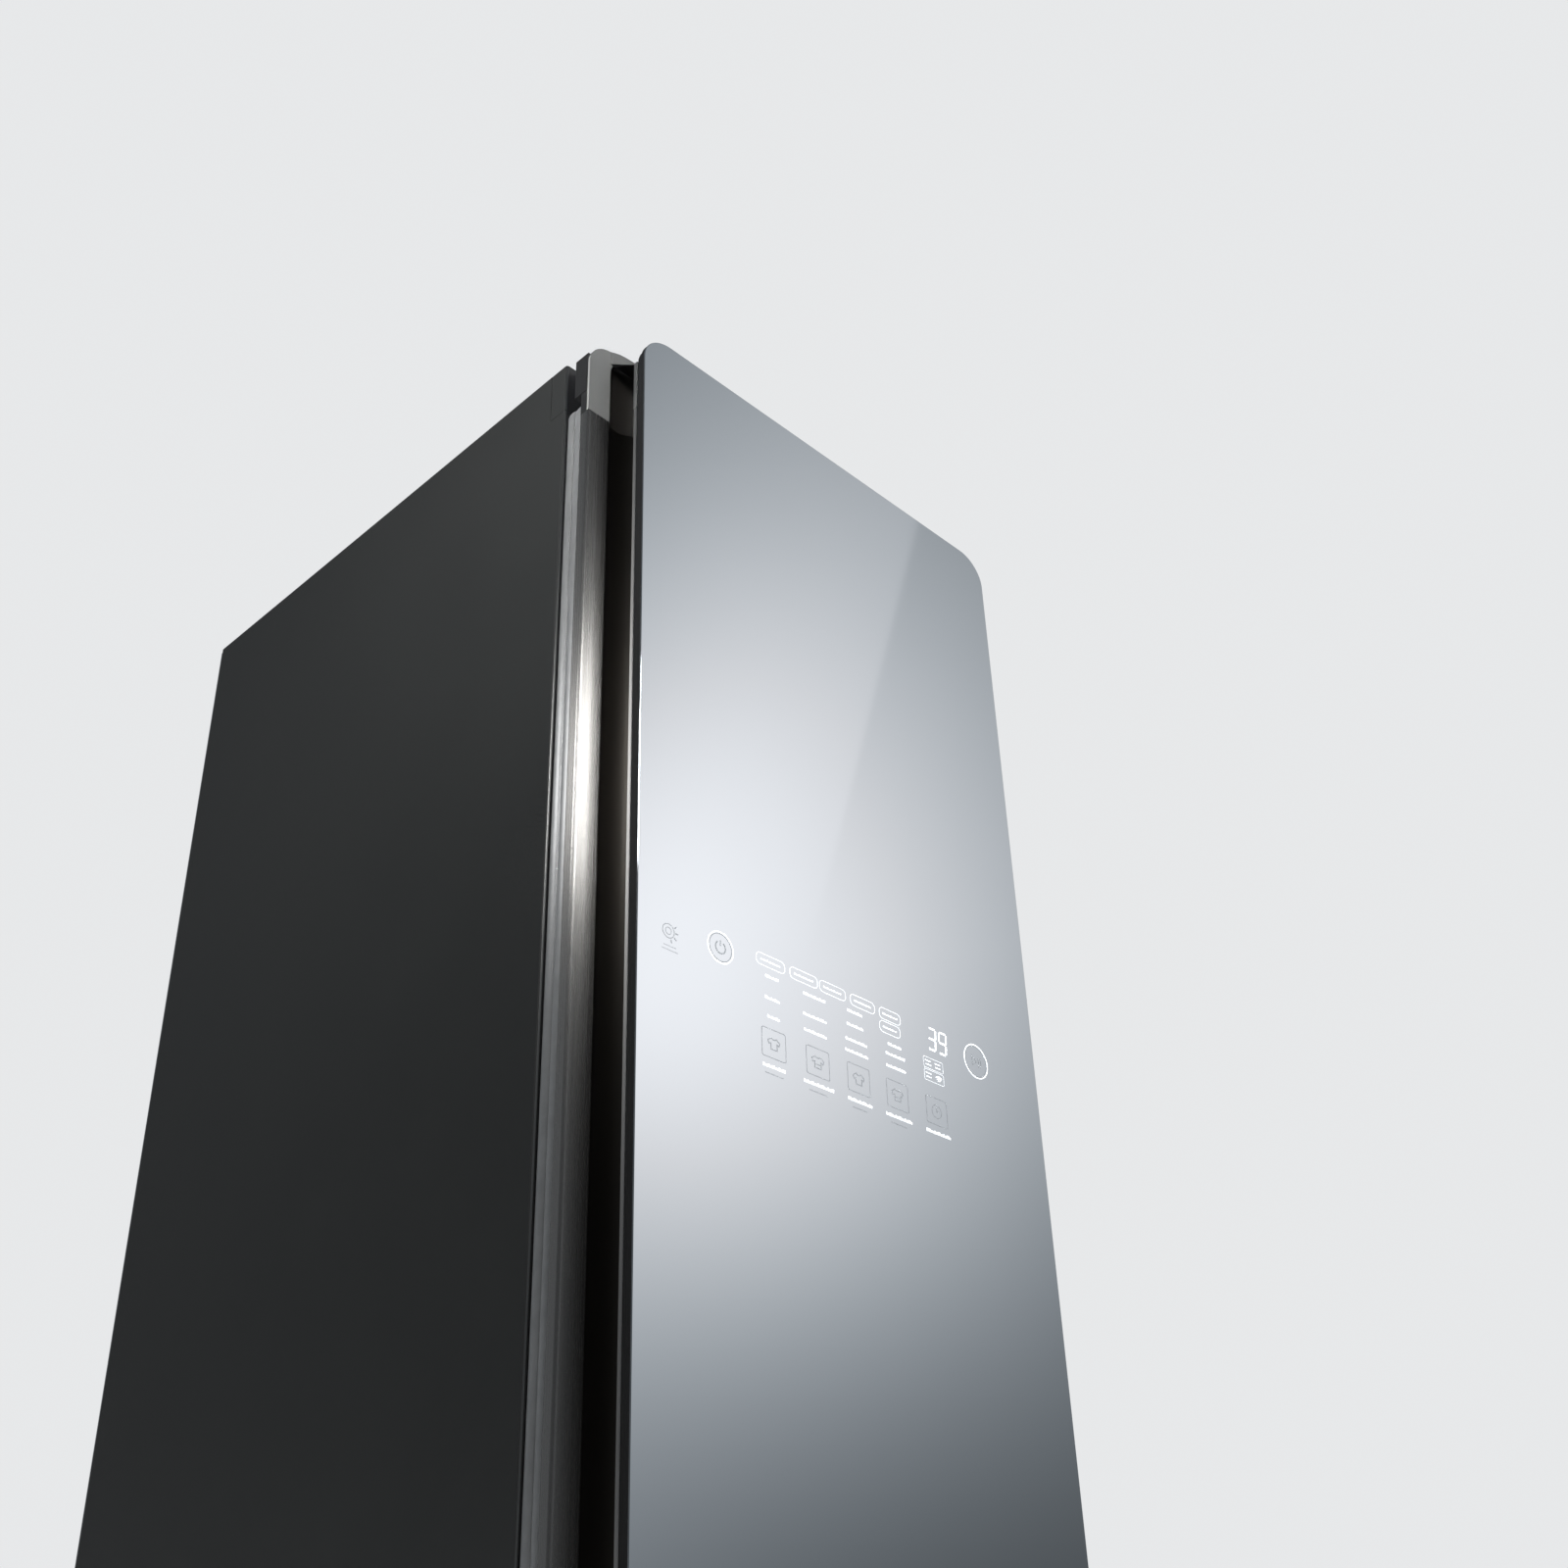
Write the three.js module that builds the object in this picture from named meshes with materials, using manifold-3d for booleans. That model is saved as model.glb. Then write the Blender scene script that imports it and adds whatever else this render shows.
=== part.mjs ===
// A clothes care steam cabinet: a tall slim cabinet with a mirror glass door.
// Millimetres, +Z up, the front faces -Y, and the origin is on the floor under the middle.
import * as THREE from 'three';
import { mergeVertices } from 'three/addons/utils/BufferGeometryUtils.js';
import Module from 'manifold-3d';

const wasm = await Module();
wasm.setup();

// Driving sizes
const overallWidth = 445;
const overallDepth = 585;
const overallHeight = 1850;
const doorThickness = 46;
const sealGap = 19;
const doorBottomHeight = 40;
const cabinetTopDrop = 8.7;
const handleReach = 26; // the bare strip beside the glass, where fingers go behind it
const chamberWidth = 380;
const chamberFloorHeight = 430;
const chamberBackSpace = 60;
const driveSpace = 96.3; // over the chamber, for the hanger drive
const machineSpace = 290.7; // behind the water tanks, for the heat pump

// Sheet, walls and clearances
const sheetThickness = 1.2;
const panThickness = 1.5;
const mouldedWall = 2.5;
const seatGap = 0.3; // between two pieces that touch
const slideGap = 0.8; // around a piece that is pulled out
const pinGap = 0.35; // around a turning pin
const overrun = 2; // a cutting tool runs past the face by this
const bite = 0.6; // two shapes of one piece sink into each other by this
const tiny = 0.001; // points nearer than this are one point

// Planes that many pieces share
const left = -overallWidth / 2;
const right = overallWidth / 2;
const front = -overallDepth / 2;
const back = overallDepth / 2;
const doorBack = front + doorThickness;
const cabinetFront = doorBack + sealGap;
const cabinetTop = overallHeight - cabinetTopDrop;
const sideBack = back - sheetThickness - seatGap;
const innerLeft = left + sheetThickness + seatGap;
const innerRight = right - sheetThickness - seatGap;
const innerBack = sideBack - sheetThickness - seatGap;
const chamberHalf = chamberWidth / 2;
const chamberCeiling = cabinetTop - driveSpace;
const chamberBack = back - chamberBackSpace;

// Facets of the rounded forms
const cornerSteps = 2;
const roundSteps = 8;
const bendSteps = 2;
const fineSteps = 4;
const rodSteps = 4;

// Solids

function toSolid(geometry) {
  const bare = geometry.clone();
  bare.deleteAttribute('normal');
  bare.deleteAttribute('uv');
  const merged = mergeVertices(bare);
  const places = Float32Array.from(merged.attributes.position.array);
  const index = merged.index.array;
  const corners = [];
  for (let i = 0; i < index.length; i += 3) {
    const [a, b, c] = [index[i], index[i + 1], index[i + 2]];
    if (a !== b && b !== c && c !== a) corners.push(a, b, c);
  }
  if (signedVolume(places, corners) < 0) corners.reverse();
  const triVerts = Uint32Array.from(corners);
  return new wasm.Manifold(new wasm.Mesh({ numProp: 3, vertProperties: places, triVerts }));
}

function signedVolume(places, corners) {
  const point = (i) => new THREE.Vector3().fromArray(places, corners[i] * 3);
  let sum = 0;
  for (let i = 0; i < corners.length; i += 3) {
    sum += point(i).dot(point(i + 1).cross(point(i + 2)));
  }
  return sum;
}

function fuse(...solids) {
  return solids.flat().reduce((whole, next) => whole.add(next));
}

function cut(body, ...tools) {
  return tools.flat().reduce((rest, tool) => rest.subtract(tool), body);
}

// Outlines lie in (x, y) for axis z, in (x, z) for axis y and in (y, z) for axis x.
const unitX = new THREE.Vector3(1, 0, 0);
const unitY = new THREE.Vector3(0, 1, 0);
const unitZ = new THREE.Vector3(0, 0, 1);
const towards = { x: unitX, y: unitY, z: unitZ };
const axisFrames = {
  x: new THREE.Matrix4().makeBasis(unitY, unitZ, unitX),
  y: new THREE.Matrix4().makeBasis(unitX, unitZ, unitY.clone().negate()),
  z: new THREE.Matrix4(),
};

function placeAlong(axis, geometry, [low, high]) {
  geometry.applyMatrix4(axisFrames[axis]);
  const start = towards[axis].clone().multiplyScalar(axis === 'y' ? high : low);
  geometry.translate(start.x, start.y, start.z);
  return geometry;
}

function prism(axis, points, [low, high], bevel = { bevelEnabled: false }, holes = []) {
  const shape = new THREE.Shape(distinct(points));
  shape.holes = holes.map((hole) => new THREE.Path(distinct(hole)));
  const geometry = new THREE.ExtrudeGeometry(shape, { depth: high - low, ...bevel });
  return toSolid(placeAlong(axis, geometry, [low, high]));
}

function distinct(points) {
  return points.filter((point, i) => point.distanceTo(points.at(i - 1)) > tiny);
}

function extrude(axis, shape, [low, high], curveSegments = cornerSteps) {
  const { shape: points, holes } = shape.extractPoints(curveSegments);
  const body = prism(axis, points, [low, high]);
  return cut(body, holes.map((hole) => prism(axis, hole, [low - overrun, high + overrun])));
}

function softExtrude(axis, shape, [low, high], soft, curveSegments = cornerSteps) {
  const { shape: points, holes } = shape.extractPoints(curveSegments);
  const bevel = { bevelThickness: soft, bevelSize: soft, bevelOffset: -soft, bevelSegments: bendSteps };
  return prism(axis, points, [low + soft, high - soft], bevel, holes);
}

function box([x0, x1], [y0, y1], [z0, z1]) {
  const geometry = new THREE.BoxGeometry(x1 - x0, y1 - y0, z1 - z0);
  geometry.translate((x0 + x1) / 2, (y0 + y1) / 2, (z0 + z1) / 2);
  return toSolid(geometry);
}

function disc(axis, [u, v], radius, range, steps = roundSteps) {
  const shape = new THREE.Shape();
  shape.absarc(u, v, radius, 0, 2 * Math.PI);
  return extrude(axis, shape, range, steps);
}

function tube(axis, centre, outer, inner, range, steps = roundSteps) {
  const [low, high] = range;
  const bore = disc(axis, centre, inner, [low - overrun, high + overrun], steps);
  return cut(disc(axis, centre, outer, range, steps), bore);
}

function turned(profile, [x, y, z], sides = 2 * roundSteps) {
  const points = profile.map(([radius, height]) => new THREE.Vector2(radius, height));
  const geometry = new THREE.LatheGeometry(points, sides);
  geometry.rotateX(Math.PI / 2);
  geometry.translate(x, y, z);
  return toSolid(geometry);
}

function pipe(points, outer, inner, steps) {
  const shape = new THREE.Shape();
  shape.absarc(0, 0, outer, 0, 2 * Math.PI);
  const bore = new THREE.Path();
  bore.absarc(0, 0, inner, 0, 2 * Math.PI);
  shape.holes.push(bore);
  const extrudePath = new THREE.CatmullRomCurve3(points.map((place) => new THREE.Vector3(...place)));
  const options = { steps, extrudePath, bevelEnabled: false, curveSegments: bendSteps };
  return toSolid(new THREE.ExtrudeGeometry(shape, options));
}

// Outlines

function outline(points) {
  return new THREE.Shape(points.map(([u, v]) => new THREE.Vector2(u, v)));
}

// Corner radii go round from the low left corner.
function roundedRect([u0, u1], [v0, v1], radii) {
  const [a, b, c, d] = Array.isArray(radii) ? radii : [radii, radii, radii, radii];
  const shape = new THREE.Shape();
  shape.moveTo(u0 + a, v0);
  shape.absarc(u1 - b, v0 + b, b, -Math.PI / 2, 0);
  shape.absarc(u1 - c, v1 - c, c, 0, Math.PI / 2);
  shape.absarc(u0 + d, v1 - d, d, Math.PI / 2, Math.PI);
  shape.absarc(u0 + a, v0 + a, a, Math.PI, 1.5 * Math.PI);
  return shape;
}

function slotHoles(shape, places, [width, height]) {
  for (const [u, v] of places) {
    const half = [width / 2, height / 2];
    const corners = [[-1, -1], [-1, 1], [1, 1], [1, -1]];
    const hole = corners.map(([a, b]) => new THREE.Vector2(u + a * half[0], v + b * half[1]));
    shape.holes.push(new THREE.Path(hole));
  }
  return shape;
}

function offsetPath(path, distance) {
  const points = path.map(([u, v]) => new THREE.Vector2(u, v));
  return points.map((point, i) => {
    const before = points[Math.max(i - 1, 0)];
    const after = points[Math.min(i + 1, points.length - 1)];
    const arriving = (i === 0 ? after.clone().sub(point) : point.clone().sub(before)).normalize();
    const leaving = (point === after ? arriving.clone() : after.clone().sub(point)).normalize();
    const arrivingSide = new THREE.Vector2(-arriving.y, arriving.x);
    const leavingSide = new THREE.Vector2(-leaving.y, leaving.x);
    const middle = arrivingSide.clone().add(leavingSide).normalize();
    const reach = distance / middle.dot(arrivingSide);
    return [point.x + middle.x * reach, point.y + middle.y * reach];
  });
}

// A sheet of one thickness that follows a path, on the path's left for a positive thickness.
function ribbon(path, thickness) {
  return outline([...path, ...offsetPath(path, thickness).reverse()]);
}

// The path's inner corners, each rounded by a short curve.
function rounded(path, radius) {
  const points = path.map(([u, v]) => new THREE.Vector2(u, v));
  return points.flatMap((corner, i) => {
    if (i === 0 || i === points.length - 1) return [[corner.x, corner.y]];
    const into = corner.clone().sub(points[i - 1]);
    const out = points[i + 1].clone().sub(corner);
    const reach = Math.min(radius, into.length() / 2, out.length() / 2);
    const start = corner.clone().sub(into.setLength(reach));
    const end = corner.clone().add(out.setLength(reach));
    const bend = new THREE.QuadraticBezierCurve(start, corner, end);
    return bend.getPoints(bendSteps).map((point) => [point.x, point.y]);
  });
}

function spread(count, low, high) {
  return Array.from({ length: count }, (_, i) => low + ((high - low) * i) / (count - 1));
}

// Base pan and levelling feet

const baseLift = 22;
const baseWallHeight = 40;
const footInset = 38;
const frontFootSetback = 45;
const rearFootSetback = 30;
const studRadius = 5;
const studReach = 34;
const bossRadius = 13;
const bossHeight = 28;
const padRadius = 20;
const padHeight = 9;
const nutRadius = 9;
const panFloor = baseLift + panThickness;
const panTop = baseLift + baseWallHeight;
const panFront = cabinetFront + sheetThickness + seatGap;

const footPlaces = {
  front_left: [left + footInset, cabinetFront + frontFootSetback],
  front_right: [right - footInset, cabinetFront + frontFootSetback],
  rear_left: [left + footInset, back - rearFootSetback],
  rear_right: [right - footInset, back - rearFootSetback],
};

function baseFrame() {
  const outside = box([innerLeft, innerRight], [panFront, innerBack], [baseLift, panTop]);
  const inside = box(
    [innerLeft + panThickness, innerRight - panThickness],
    [panFront + panThickness, innerBack - panThickness],
    [panFloor, panTop + overrun],
  );
  const bosses = Object.values(footPlaces).map((place) =>
    disc('z', place, bossRadius, [panFloor - bite, panFloor + bossHeight]),
  );
  const bores = Object.values(footPlaces).map((place) =>
    disc('z', place, studRadius + pinGap, [baseLift - overrun, panFloor + bossHeight + overrun]),
  );
  const posts = compressorPosts.map((place) =>
    disc('z', place, postRadius, [panFloor - bite, compressorLift - seatGap]),
  );
  return cut(fuse(cut(outside, inside), bosses, posts), bores);
}

function levellingFoot([x, y]) {
  const collarTop = baseLift - seatGap;
  const shoulder = padHeight / 2;
  const profile = [
    [0, 0],
    [padRadius, 0],
    [padRadius, shoulder],
    [nutRadius, padHeight],
    [nutRadius, collarTop],
    [studRadius, collarTop],
    [studRadius, collarTop + studReach],
    [0, collarTop + studReach],
  ];
  return turned(profile, [x, y, 0]);
}

// Outer sheets and trims

const edgeFold = 6; // the front fold of each side sheet, which shows as a bright edge
const backFold = 14;
const foldRadius = 2;
const trimHeight = 49.5;
const trimDepth = 18.5;
const trimCorner = 3;
const coverLip = 14;
const trimBottom = cabinetTop - trimHeight;

function sidePanel(side) {
  const edge = side * right;
  const path = [
    [edge - side * edgeFold, cabinetFront],
    [edge, cabinetFront],
    [edge, sideBack],
    [edge - side * backFold, sideBack],
  ];
  const sheet = ribbon(rounded(path, foldRadius), side * sheetThickness);
  const panel = extrude('z', sheet, [baseLift, cabinetTop]);
  const notchDepth = trimDepth + seatGap;
  const notch = box(
    [left - overrun, right + overrun],
    [cabinetFront - overrun, cabinetFront + notchDepth],
    [trimBottom - seatGap, cabinetTop + overrun],
  );
  return cut(panel, notch);
}

function topFrontTrim() {
  const plan = roundedRect(
    [left, right],
    [cabinetFront, cabinetFront + trimDepth],
    [trimCorner, trimCorner, 0, 0],
  );
  const hollow = box(
    [left + mouldedWall, right - mouldedWall],
    [cabinetFront + mouldedWall, cabinetFront + trimDepth + overrun],
    [trimBottom + mouldedWall, cabinetTop - mouldedWall],
  );
  return cut(extrude('z', plan, [trimBottom, cabinetTop]), hollow);
}

function topCover() {
  const coverFront = cabinetFront + trimDepth + seatGap;
  const low = cabinetTop - coverLip;
  const outside = box([innerLeft, innerRight], [coverFront, innerBack], [low, cabinetTop]);
  const inside = box(
    [innerLeft + sheetThickness, innerRight - sheetThickness],
    [coverFront + sheetThickness, innerBack - sheetThickness],
    [low - overrun, cabinetTop - sheetThickness],
  );
  return cut(outside, inside);
}

const backInset = 1;
const ventColumns = 2;
const ventRows = 9;
const ventWidth = 90;
const ventSlot = 3.6;
const ventPitch = 14;
const ventSide = 110;
const ventBottom = 130;
const glandInset = 42;
const glandHeight = 96;
const glandRadius = 8;
const glandFlange = 12;
const glandBore = 4;
const glandLength = 20;
const glandPlace = [left + glandInset, glandHeight];

function backPanel() {
  const sheet = roundedRect(
    [left + backInset, right - backInset],
    [baseLift + backInset, cabinetTop - backInset],
    foldRadius,
  );
  const places = [];
  for (const side of spread(ventColumns, -ventSide, ventSide)) {
    for (let row = 0; row < ventRows; row += 1) places.push([side, ventBottom + row * ventPitch]);
  }
  slotHoles(sheet, places, [ventWidth, ventSlot]);
  const cableHole = disc('y', glandPlace, glandRadius + seatGap, [innerBack, back + overrun]);
  return cut(extrude('y', sheet, [back - sheetThickness, back]), cableHole);
}

function cableGland() {
  const flangeBack = back - sheetThickness - seatGap;
  const nose = tube('y', glandPlace, glandRadius, glandBore, [back - glandLength, back]);
  const flangeRange = [flangeBack - mouldedWall, flangeBack];
  return fuse(nose, tube('y', glandPlace, glandFlange, glandBore, flangeRange));
}

// Front frame, where the door seal lands, with the chamber mouth above and the tank mouth below

const frameThickness = 3;
const chamberCorner = 16;
const bayWidth = 376;
const baySill = 50; // the closed strip of the front frame under the tanks
const bayRoofGap = 9.7; // between the tank bay and the lint filter that hangs over it
const bayRib = 4;
const filterHeight = 96;
const bayCorner = 1;
const frameBack = cabinetFront + frameThickness;
const frameBottom = panTop + seatGap;
const frameTop = trimBottom - seatGap;
const frameSide = right - edgeFold - seatGap;
const bayHalf = bayWidth / 2;
const bayFloor = frameBottom + baySill;
const bayCeiling = chamberFloorHeight - filterHeight - bayRoofGap;
const bayFront = frameBack + seatGap;
const bayBack = back - machineSpace;

function frontFrame() {
  const face = roundedRect([-frameSide, frameSide], [frameBottom, frameTop], 0);
  const chamberMouth = [-chamberHalf, chamberHalf];
  face.holes.push(
    roundedRect(chamberMouth, [chamberFloorHeight, chamberCeiling], chamberCorner),
    roundedRect([-bayHalf, bayHalf], [bayFloor, bayCeiling], bayCorner),
  );
  return extrude('y', face, [cabinetFront, frameBack]);
}

// Chamber liner with its shelf ledges and cut-outs

const ledgeHeight = 600; // upper face of the shelf ledges above the floor
const ledgeReach = 9;
const ledgeThickness = 6;
const ledgeSetback = 85;
const shelfBackGap = 51.7; // free chamber depth behind the shelf
const filterLeft = -160;
const filterWidth = 196;
const filterDepth = 36;
const filterSetback = 22; // from the liner's mouth to the filter slot
const scentWidth = 76;
const scentLeft = 72;
const nozzleRadius = 9;
const nozzleX = 60;
const nozzleSetback = 172.5; // from the chamber's back wall
const grilleWidth = 220;
const grilleHeight = 64;
const grilleLift = 24;
const lampWidth = 130;
const lampDepth = 26;
const lampSetback = 30;
const armHalfSpacing = 45;
const armWidth = 10;
const armDepth = 14;
const shakeReach = 10;
const armClearance = 3;
const linerFront = frameBack + seatGap;
const slotFront = linerFront + filterSetback;
const slotDepths = [slotFront, slotFront + filterDepth];
const ledgeFront = linerFront + ledgeSetback;
const shelfDepth = chamberBack - shelfBackGap - ledgeFront;
const nozzlePlace = [nozzleX, chamberBack - nozzleSetback];
const grilleLow = chamberFloorHeight + grilleLift;
const lampFront = linerFront + lampSetback;
const linerUnder = chamberFloorHeight - mouldedWall;
const linerTop = chamberCeiling + mouldedWall;

function chamberLiner() {
  const outside = roundedRect(
    [-chamberHalf - mouldedWall, chamberHalf + mouldedWall],
    [linerUnder, linerTop],
    chamberCorner + mouldedWall,
  );
  const inside = roundedRect(
    [-chamberHalf, chamberHalf],
    [chamberFloorHeight, chamberCeiling],
    chamberCorner,
  );
  const tub = cut(
    extrude('y', outside, [linerFront, chamberBack + mouldedWall]),
    extrude('y', inside, [linerFront - overrun, chamberBack]),
  );
  const ledges = [-1, 1].map((side) => {
    const reach = [side * (chamberHalf - ledgeReach), side * (chamberHalf + bite)];
    reach.sort((a, b) => a - b);
    const along = [ledgeFront, ledgeFront + shelfDepth];
    return box(reach, along, [ledgeHeight - ledgeThickness, ledgeHeight]);
  });
  const throughFloor = [linerUnder - overrun, chamberFloorHeight + overrun];
  const throughTop = [chamberCeiling - overrun, linerTop + overrun];
  const throughBack = [chamberBack - overrun, chamberBack + mouldedWall + overrun];
  const filterSlot = box([filterLeft, filterLeft + filterWidth], slotDepths, throughFloor);
  const scentSlot = box([scentLeft, scentLeft + scentWidth], slotDepths, throughFloor);
  const nozzleHole = disc('z', nozzlePlace, nozzleRadius + seatGap, throughFloor);
  const grilleHole = box(
    [-grilleWidth / 2, grilleWidth / 2],
    throughBack,
    [grilleLow, grilleLow + grilleHeight],
  );
  const lampHole = box([-lampWidth / 2, lampWidth / 2], [lampFront, lampFront + lampDepth], throughTop);
  const armSlotHalf = armWidth / 2 + shakeReach + armClearance;
  const armSlots = [-armHalfSpacing, armHalfSpacing].map((x) => {
    const depths = [-armDepth / 2 - armClearance, armDepth / 2 + armClearance];
    return box([x - armSlotHalf, x + armSlotHalf], depths, throughTop);
  });
  return cut(fuse(tub, ledges), filterSlot, scentSlot, nozzleHole, grilleHole, lampHole, armSlots);
}

const louvreCount = 6;
const louvreThickness = 2.4;
const louvreDepth = 9;
const grilleRim = 5;

// The air outlet: a rim in the liner's back wall with slanted louvres.
function airGrille() {
  const [x0, x1] = [-grilleWidth / 2 + seatGap, grilleWidth / 2 - seatGap];
  const [z0, z1] = [grilleLow + seatGap, grilleLow + grilleHeight - seatGap];
  const depths = [chamberBack, chamberBack + louvreDepth];
  const rim = cut(
    box([x0, x1], depths, [z0, z1]),
    box(
      [x0 + grilleRim, x1 - grilleRim],
      [chamberBack - overrun, chamberBack + louvreDepth + overrun],
      [z0 + grilleRim, z1 - grilleRim],
    ),
  );
  const rise = (z1 - z0 - 2 * grilleRim) / (louvreCount + 1);
  const louvres = spread(louvreCount, z0 + grilleRim + rise, z1 - grilleRim - rise).map((z) => {
    const slat = outline([
      [chamberBack, z - louvreThickness / 2 - rise / 2],
      [chamberBack, z + louvreThickness / 2 - rise / 2],
      [chamberBack + louvreDepth, z + louvreThickness / 2],
      [chamberBack + louvreDepth, z - louvreThickness / 2],
    ]);
    return extrude('x', slat, [x0 + grilleRim - bite, x1 - grilleRim + bite]);
  });
  return fuse(rim, louvres);
}

const nozzleFlange = 16;
const nozzleLift = 5;
const nozzleLength = 26;
const nozzleBore = 1.9;
const nozzleTopShare = 0.7;

function steamNozzle() {
  const seat = chamberFloorHeight + seatGap;
  const profile = [
    [nozzleBore, -nozzleLength],
    [nozzleRadius, -nozzleLength],
    [nozzleRadius, 0],
    [nozzleFlange, 0],
    [nozzleFlange * nozzleTopShare, nozzleLift],
    [nozzleBore, nozzleLift],
    [nozzleBore, -nozzleLength],
  ];
  return turned(profile, [...nozzlePlace, seat]);
}

const lampFlange = 3;
const lampDrop = 2;

function chamberLamp() {
  const half = lampWidth / 2;
  const depths = [lampFront + seatGap, lampFront + lampDepth - seatGap];
  const body = box([-half + seatGap, half - seatGap], depths, [chamberCeiling - bite, linerTop]);
  const lens = roundedRect(
    [-half - lampFlange, half + lampFlange],
    [lampFront - lampFlange, lampFront + lampDepth + lampFlange],
    lampFlange,
  );
  const under = chamberCeiling - seatGap;
  return fuse(body, extrude('z', lens, [under - lampDrop, under]));
}

// Shelf on the ledges

const shelfGap = 2;
const shelfBar = 10;
const shelfThickness = 7;
const slatCount = 9;
const slatWidth = 6;
const slatHeightShare = 0.7;

function shelf() {
  const half = chamberHalf - shelfGap;
  const bottom = ledgeHeight + seatGap;
  const rim = roundedRect([-half, half], [ledgeFront, ledgeFront + shelfDepth], shelfBar);
  rim.holes.push(
    roundedRect(
      [-half + shelfBar, half - shelfBar],
      [ledgeFront + shelfBar, ledgeFront + shelfDepth - shelfBar],
      0,
    ),
  );
  const pitch = (2 * half - 2 * shelfBar) / (slatCount + 1);
  const slats = spread(slatCount, -half + shelfBar + pitch, half - shelfBar - pitch).map((x) =>
    box(
      [x - slatWidth / 2, x + slatWidth / 2],
      [ledgeFront + shelfBar - bite, ledgeFront + shelfDepth - shelfBar + bite],
      [bottom, bottom + shelfThickness * slatHeightShare],
    ),
  );
  return fuse(extrude('z', rim, [bottom, bottom + shelfThickness]), slats);
}

// Lint filter and scent cartridge, which lift out of the chamber floor

const filterWall = 5;
const filterRim = 4;
const filterRimThickness = 4;
const gripWidth = 70;
const gripHeight = 26;
const gripThickness = 8;
const gripBar = 6;
const screenThickness = 1.2;
const screenFolds = 24;
const screenSwing = 6;
const scentHeight = 44;
const scentSlots = 5;
const scentSlotWidth = 4;
const scentSlotInset = 15;

function dropInFrame([x0, x1], height) {
  const top = chamberFloorHeight + seatGap;
  const [y0, y1] = slotDepths;
  const body = box(
    [x0 + slideGap, x1 - slideGap],
    [y0 + slideGap, y1 - slideGap],
    [top - height, top + bite],
  );
  const flange = roundedRect([x0 - filterRim, x1 + filterRim], [y0 - filterRim, y1 + filterRim], filterRim);
  return fuse(body, extrude('z', flange, [top, top + filterRimThickness]));
}

function lintFilter() {
  const [x0, x1] = [filterLeft, filterLeft + filterWidth];
  const top = chamberFloorHeight + seatGap;
  const [y0, y1] = slotDepths;
  const window = box(
    [x0 + slideGap + filterWall, x1 - slideGap - filterWall],
    [y0 - overrun, y1 + overrun],
    [top - filterHeight + filterWall, top - filterWall],
  );
  const middle = (x0 + x1) / 2;
  const gripFoot = top + filterRimThickness;
  const grip = roundedRect(
    [middle - gripWidth / 2, middle + gripWidth / 2],
    [gripFoot - bite, gripFoot + gripHeight],
    [0, 0, gripBar, gripBar],
  );
  grip.holes.push(
    roundedRect(
      [middle - gripWidth / 2 + gripBar, middle + gripWidth / 2 - gripBar],
      [gripFoot, gripFoot + gripHeight - gripBar],
      gripBar / 2,
    ),
  );
  const gripMiddle = (y0 + y1) / 2;
  const gripDepths = [gripMiddle - gripThickness / 2, gripMiddle + gripThickness / 2];
  return fuse(cut(dropInFrame([x0, x1], filterHeight), window), extrude('y', grip, gripDepths));
}

function lintScreen() {
  const inset = slideGap + filterWall + seatGap + screenThickness;
  const [x0, x1] = [filterLeft + inset, filterLeft + filterWidth - inset];
  const top = chamberFloorHeight + seatGap - filterWall - seatGap;
  const bottom = chamberFloorHeight + seatGap - filterHeight + filterWall + seatGap;
  const [y0, y1] = slotDepths;
  const middle = (y0 + y1) / 2;
  const path = spread(screenFolds + 1, x0, x1).map((x, i) => {
    const swing = i % 2 ? screenSwing : -screenSwing;
    return [x, middle + swing];
  });
  return extrude('z', ribbon(path, screenThickness), [bottom, top]);
}

function scentCartridge() {
  const range = [scentLeft, scentLeft + scentWidth];
  const top = chamberFloorHeight + seatGap;
  const [y0, y1] = slotDepths;
  const slots = spread(scentSlots, range[0] + scentSlotInset, range[1] - scentSlotInset).map((x) =>
    box(
      [x - scentSlotWidth / 2, x + scentSlotWidth / 2],
      [y0 + filterWall, y1 - filterWall],
      [top - scentHeight / 2, top + filterRimThickness + overrun],
    ),
  );
  return cut(dropInFrame(range, scentHeight), slots);
}

// Tank bay with the water supply tank and the drain tank

const tankSetback = 12;
const tankHeadroom = 13.7; // over the tank for its lid and the mouth's collar
const tankWall = 2.5;
const tankCorner = 8;
const tankGripWidth = 96;
const tankGripHeight = 36;
const tankGripDepth = 20;
const tankGripDrop = 12;
const spigotRadius = 7;
const spigotBore = 1.9;
const spigotLift = 20;
const spigotReach = 14;
const lidThickness = 3;
const lidCollar = 5;
const supplyMouth = 20;
const drainMouth = 14;
const mouthSetback = 60;
const tankFront = cabinetFront + tankSetback;
const tankBack = bayBack - mouldedWall - slideGap;
const tankFloor = bayFloor + seatGap;
const tankTop = bayCeiling - tankHeadroom;

function pocketRange(side) {
  const near = bayRib / 2;
  return side < 0 ? [-bayHalf, -near] : [near, bayHalf];
}

function tankRange(side) {
  const [x0, x1] = pocketRange(side);
  return [x0 + slideGap, x1 - slideGap];
}

function middleOf([low, high]) {
  return (low + high) / 2;
}

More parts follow.
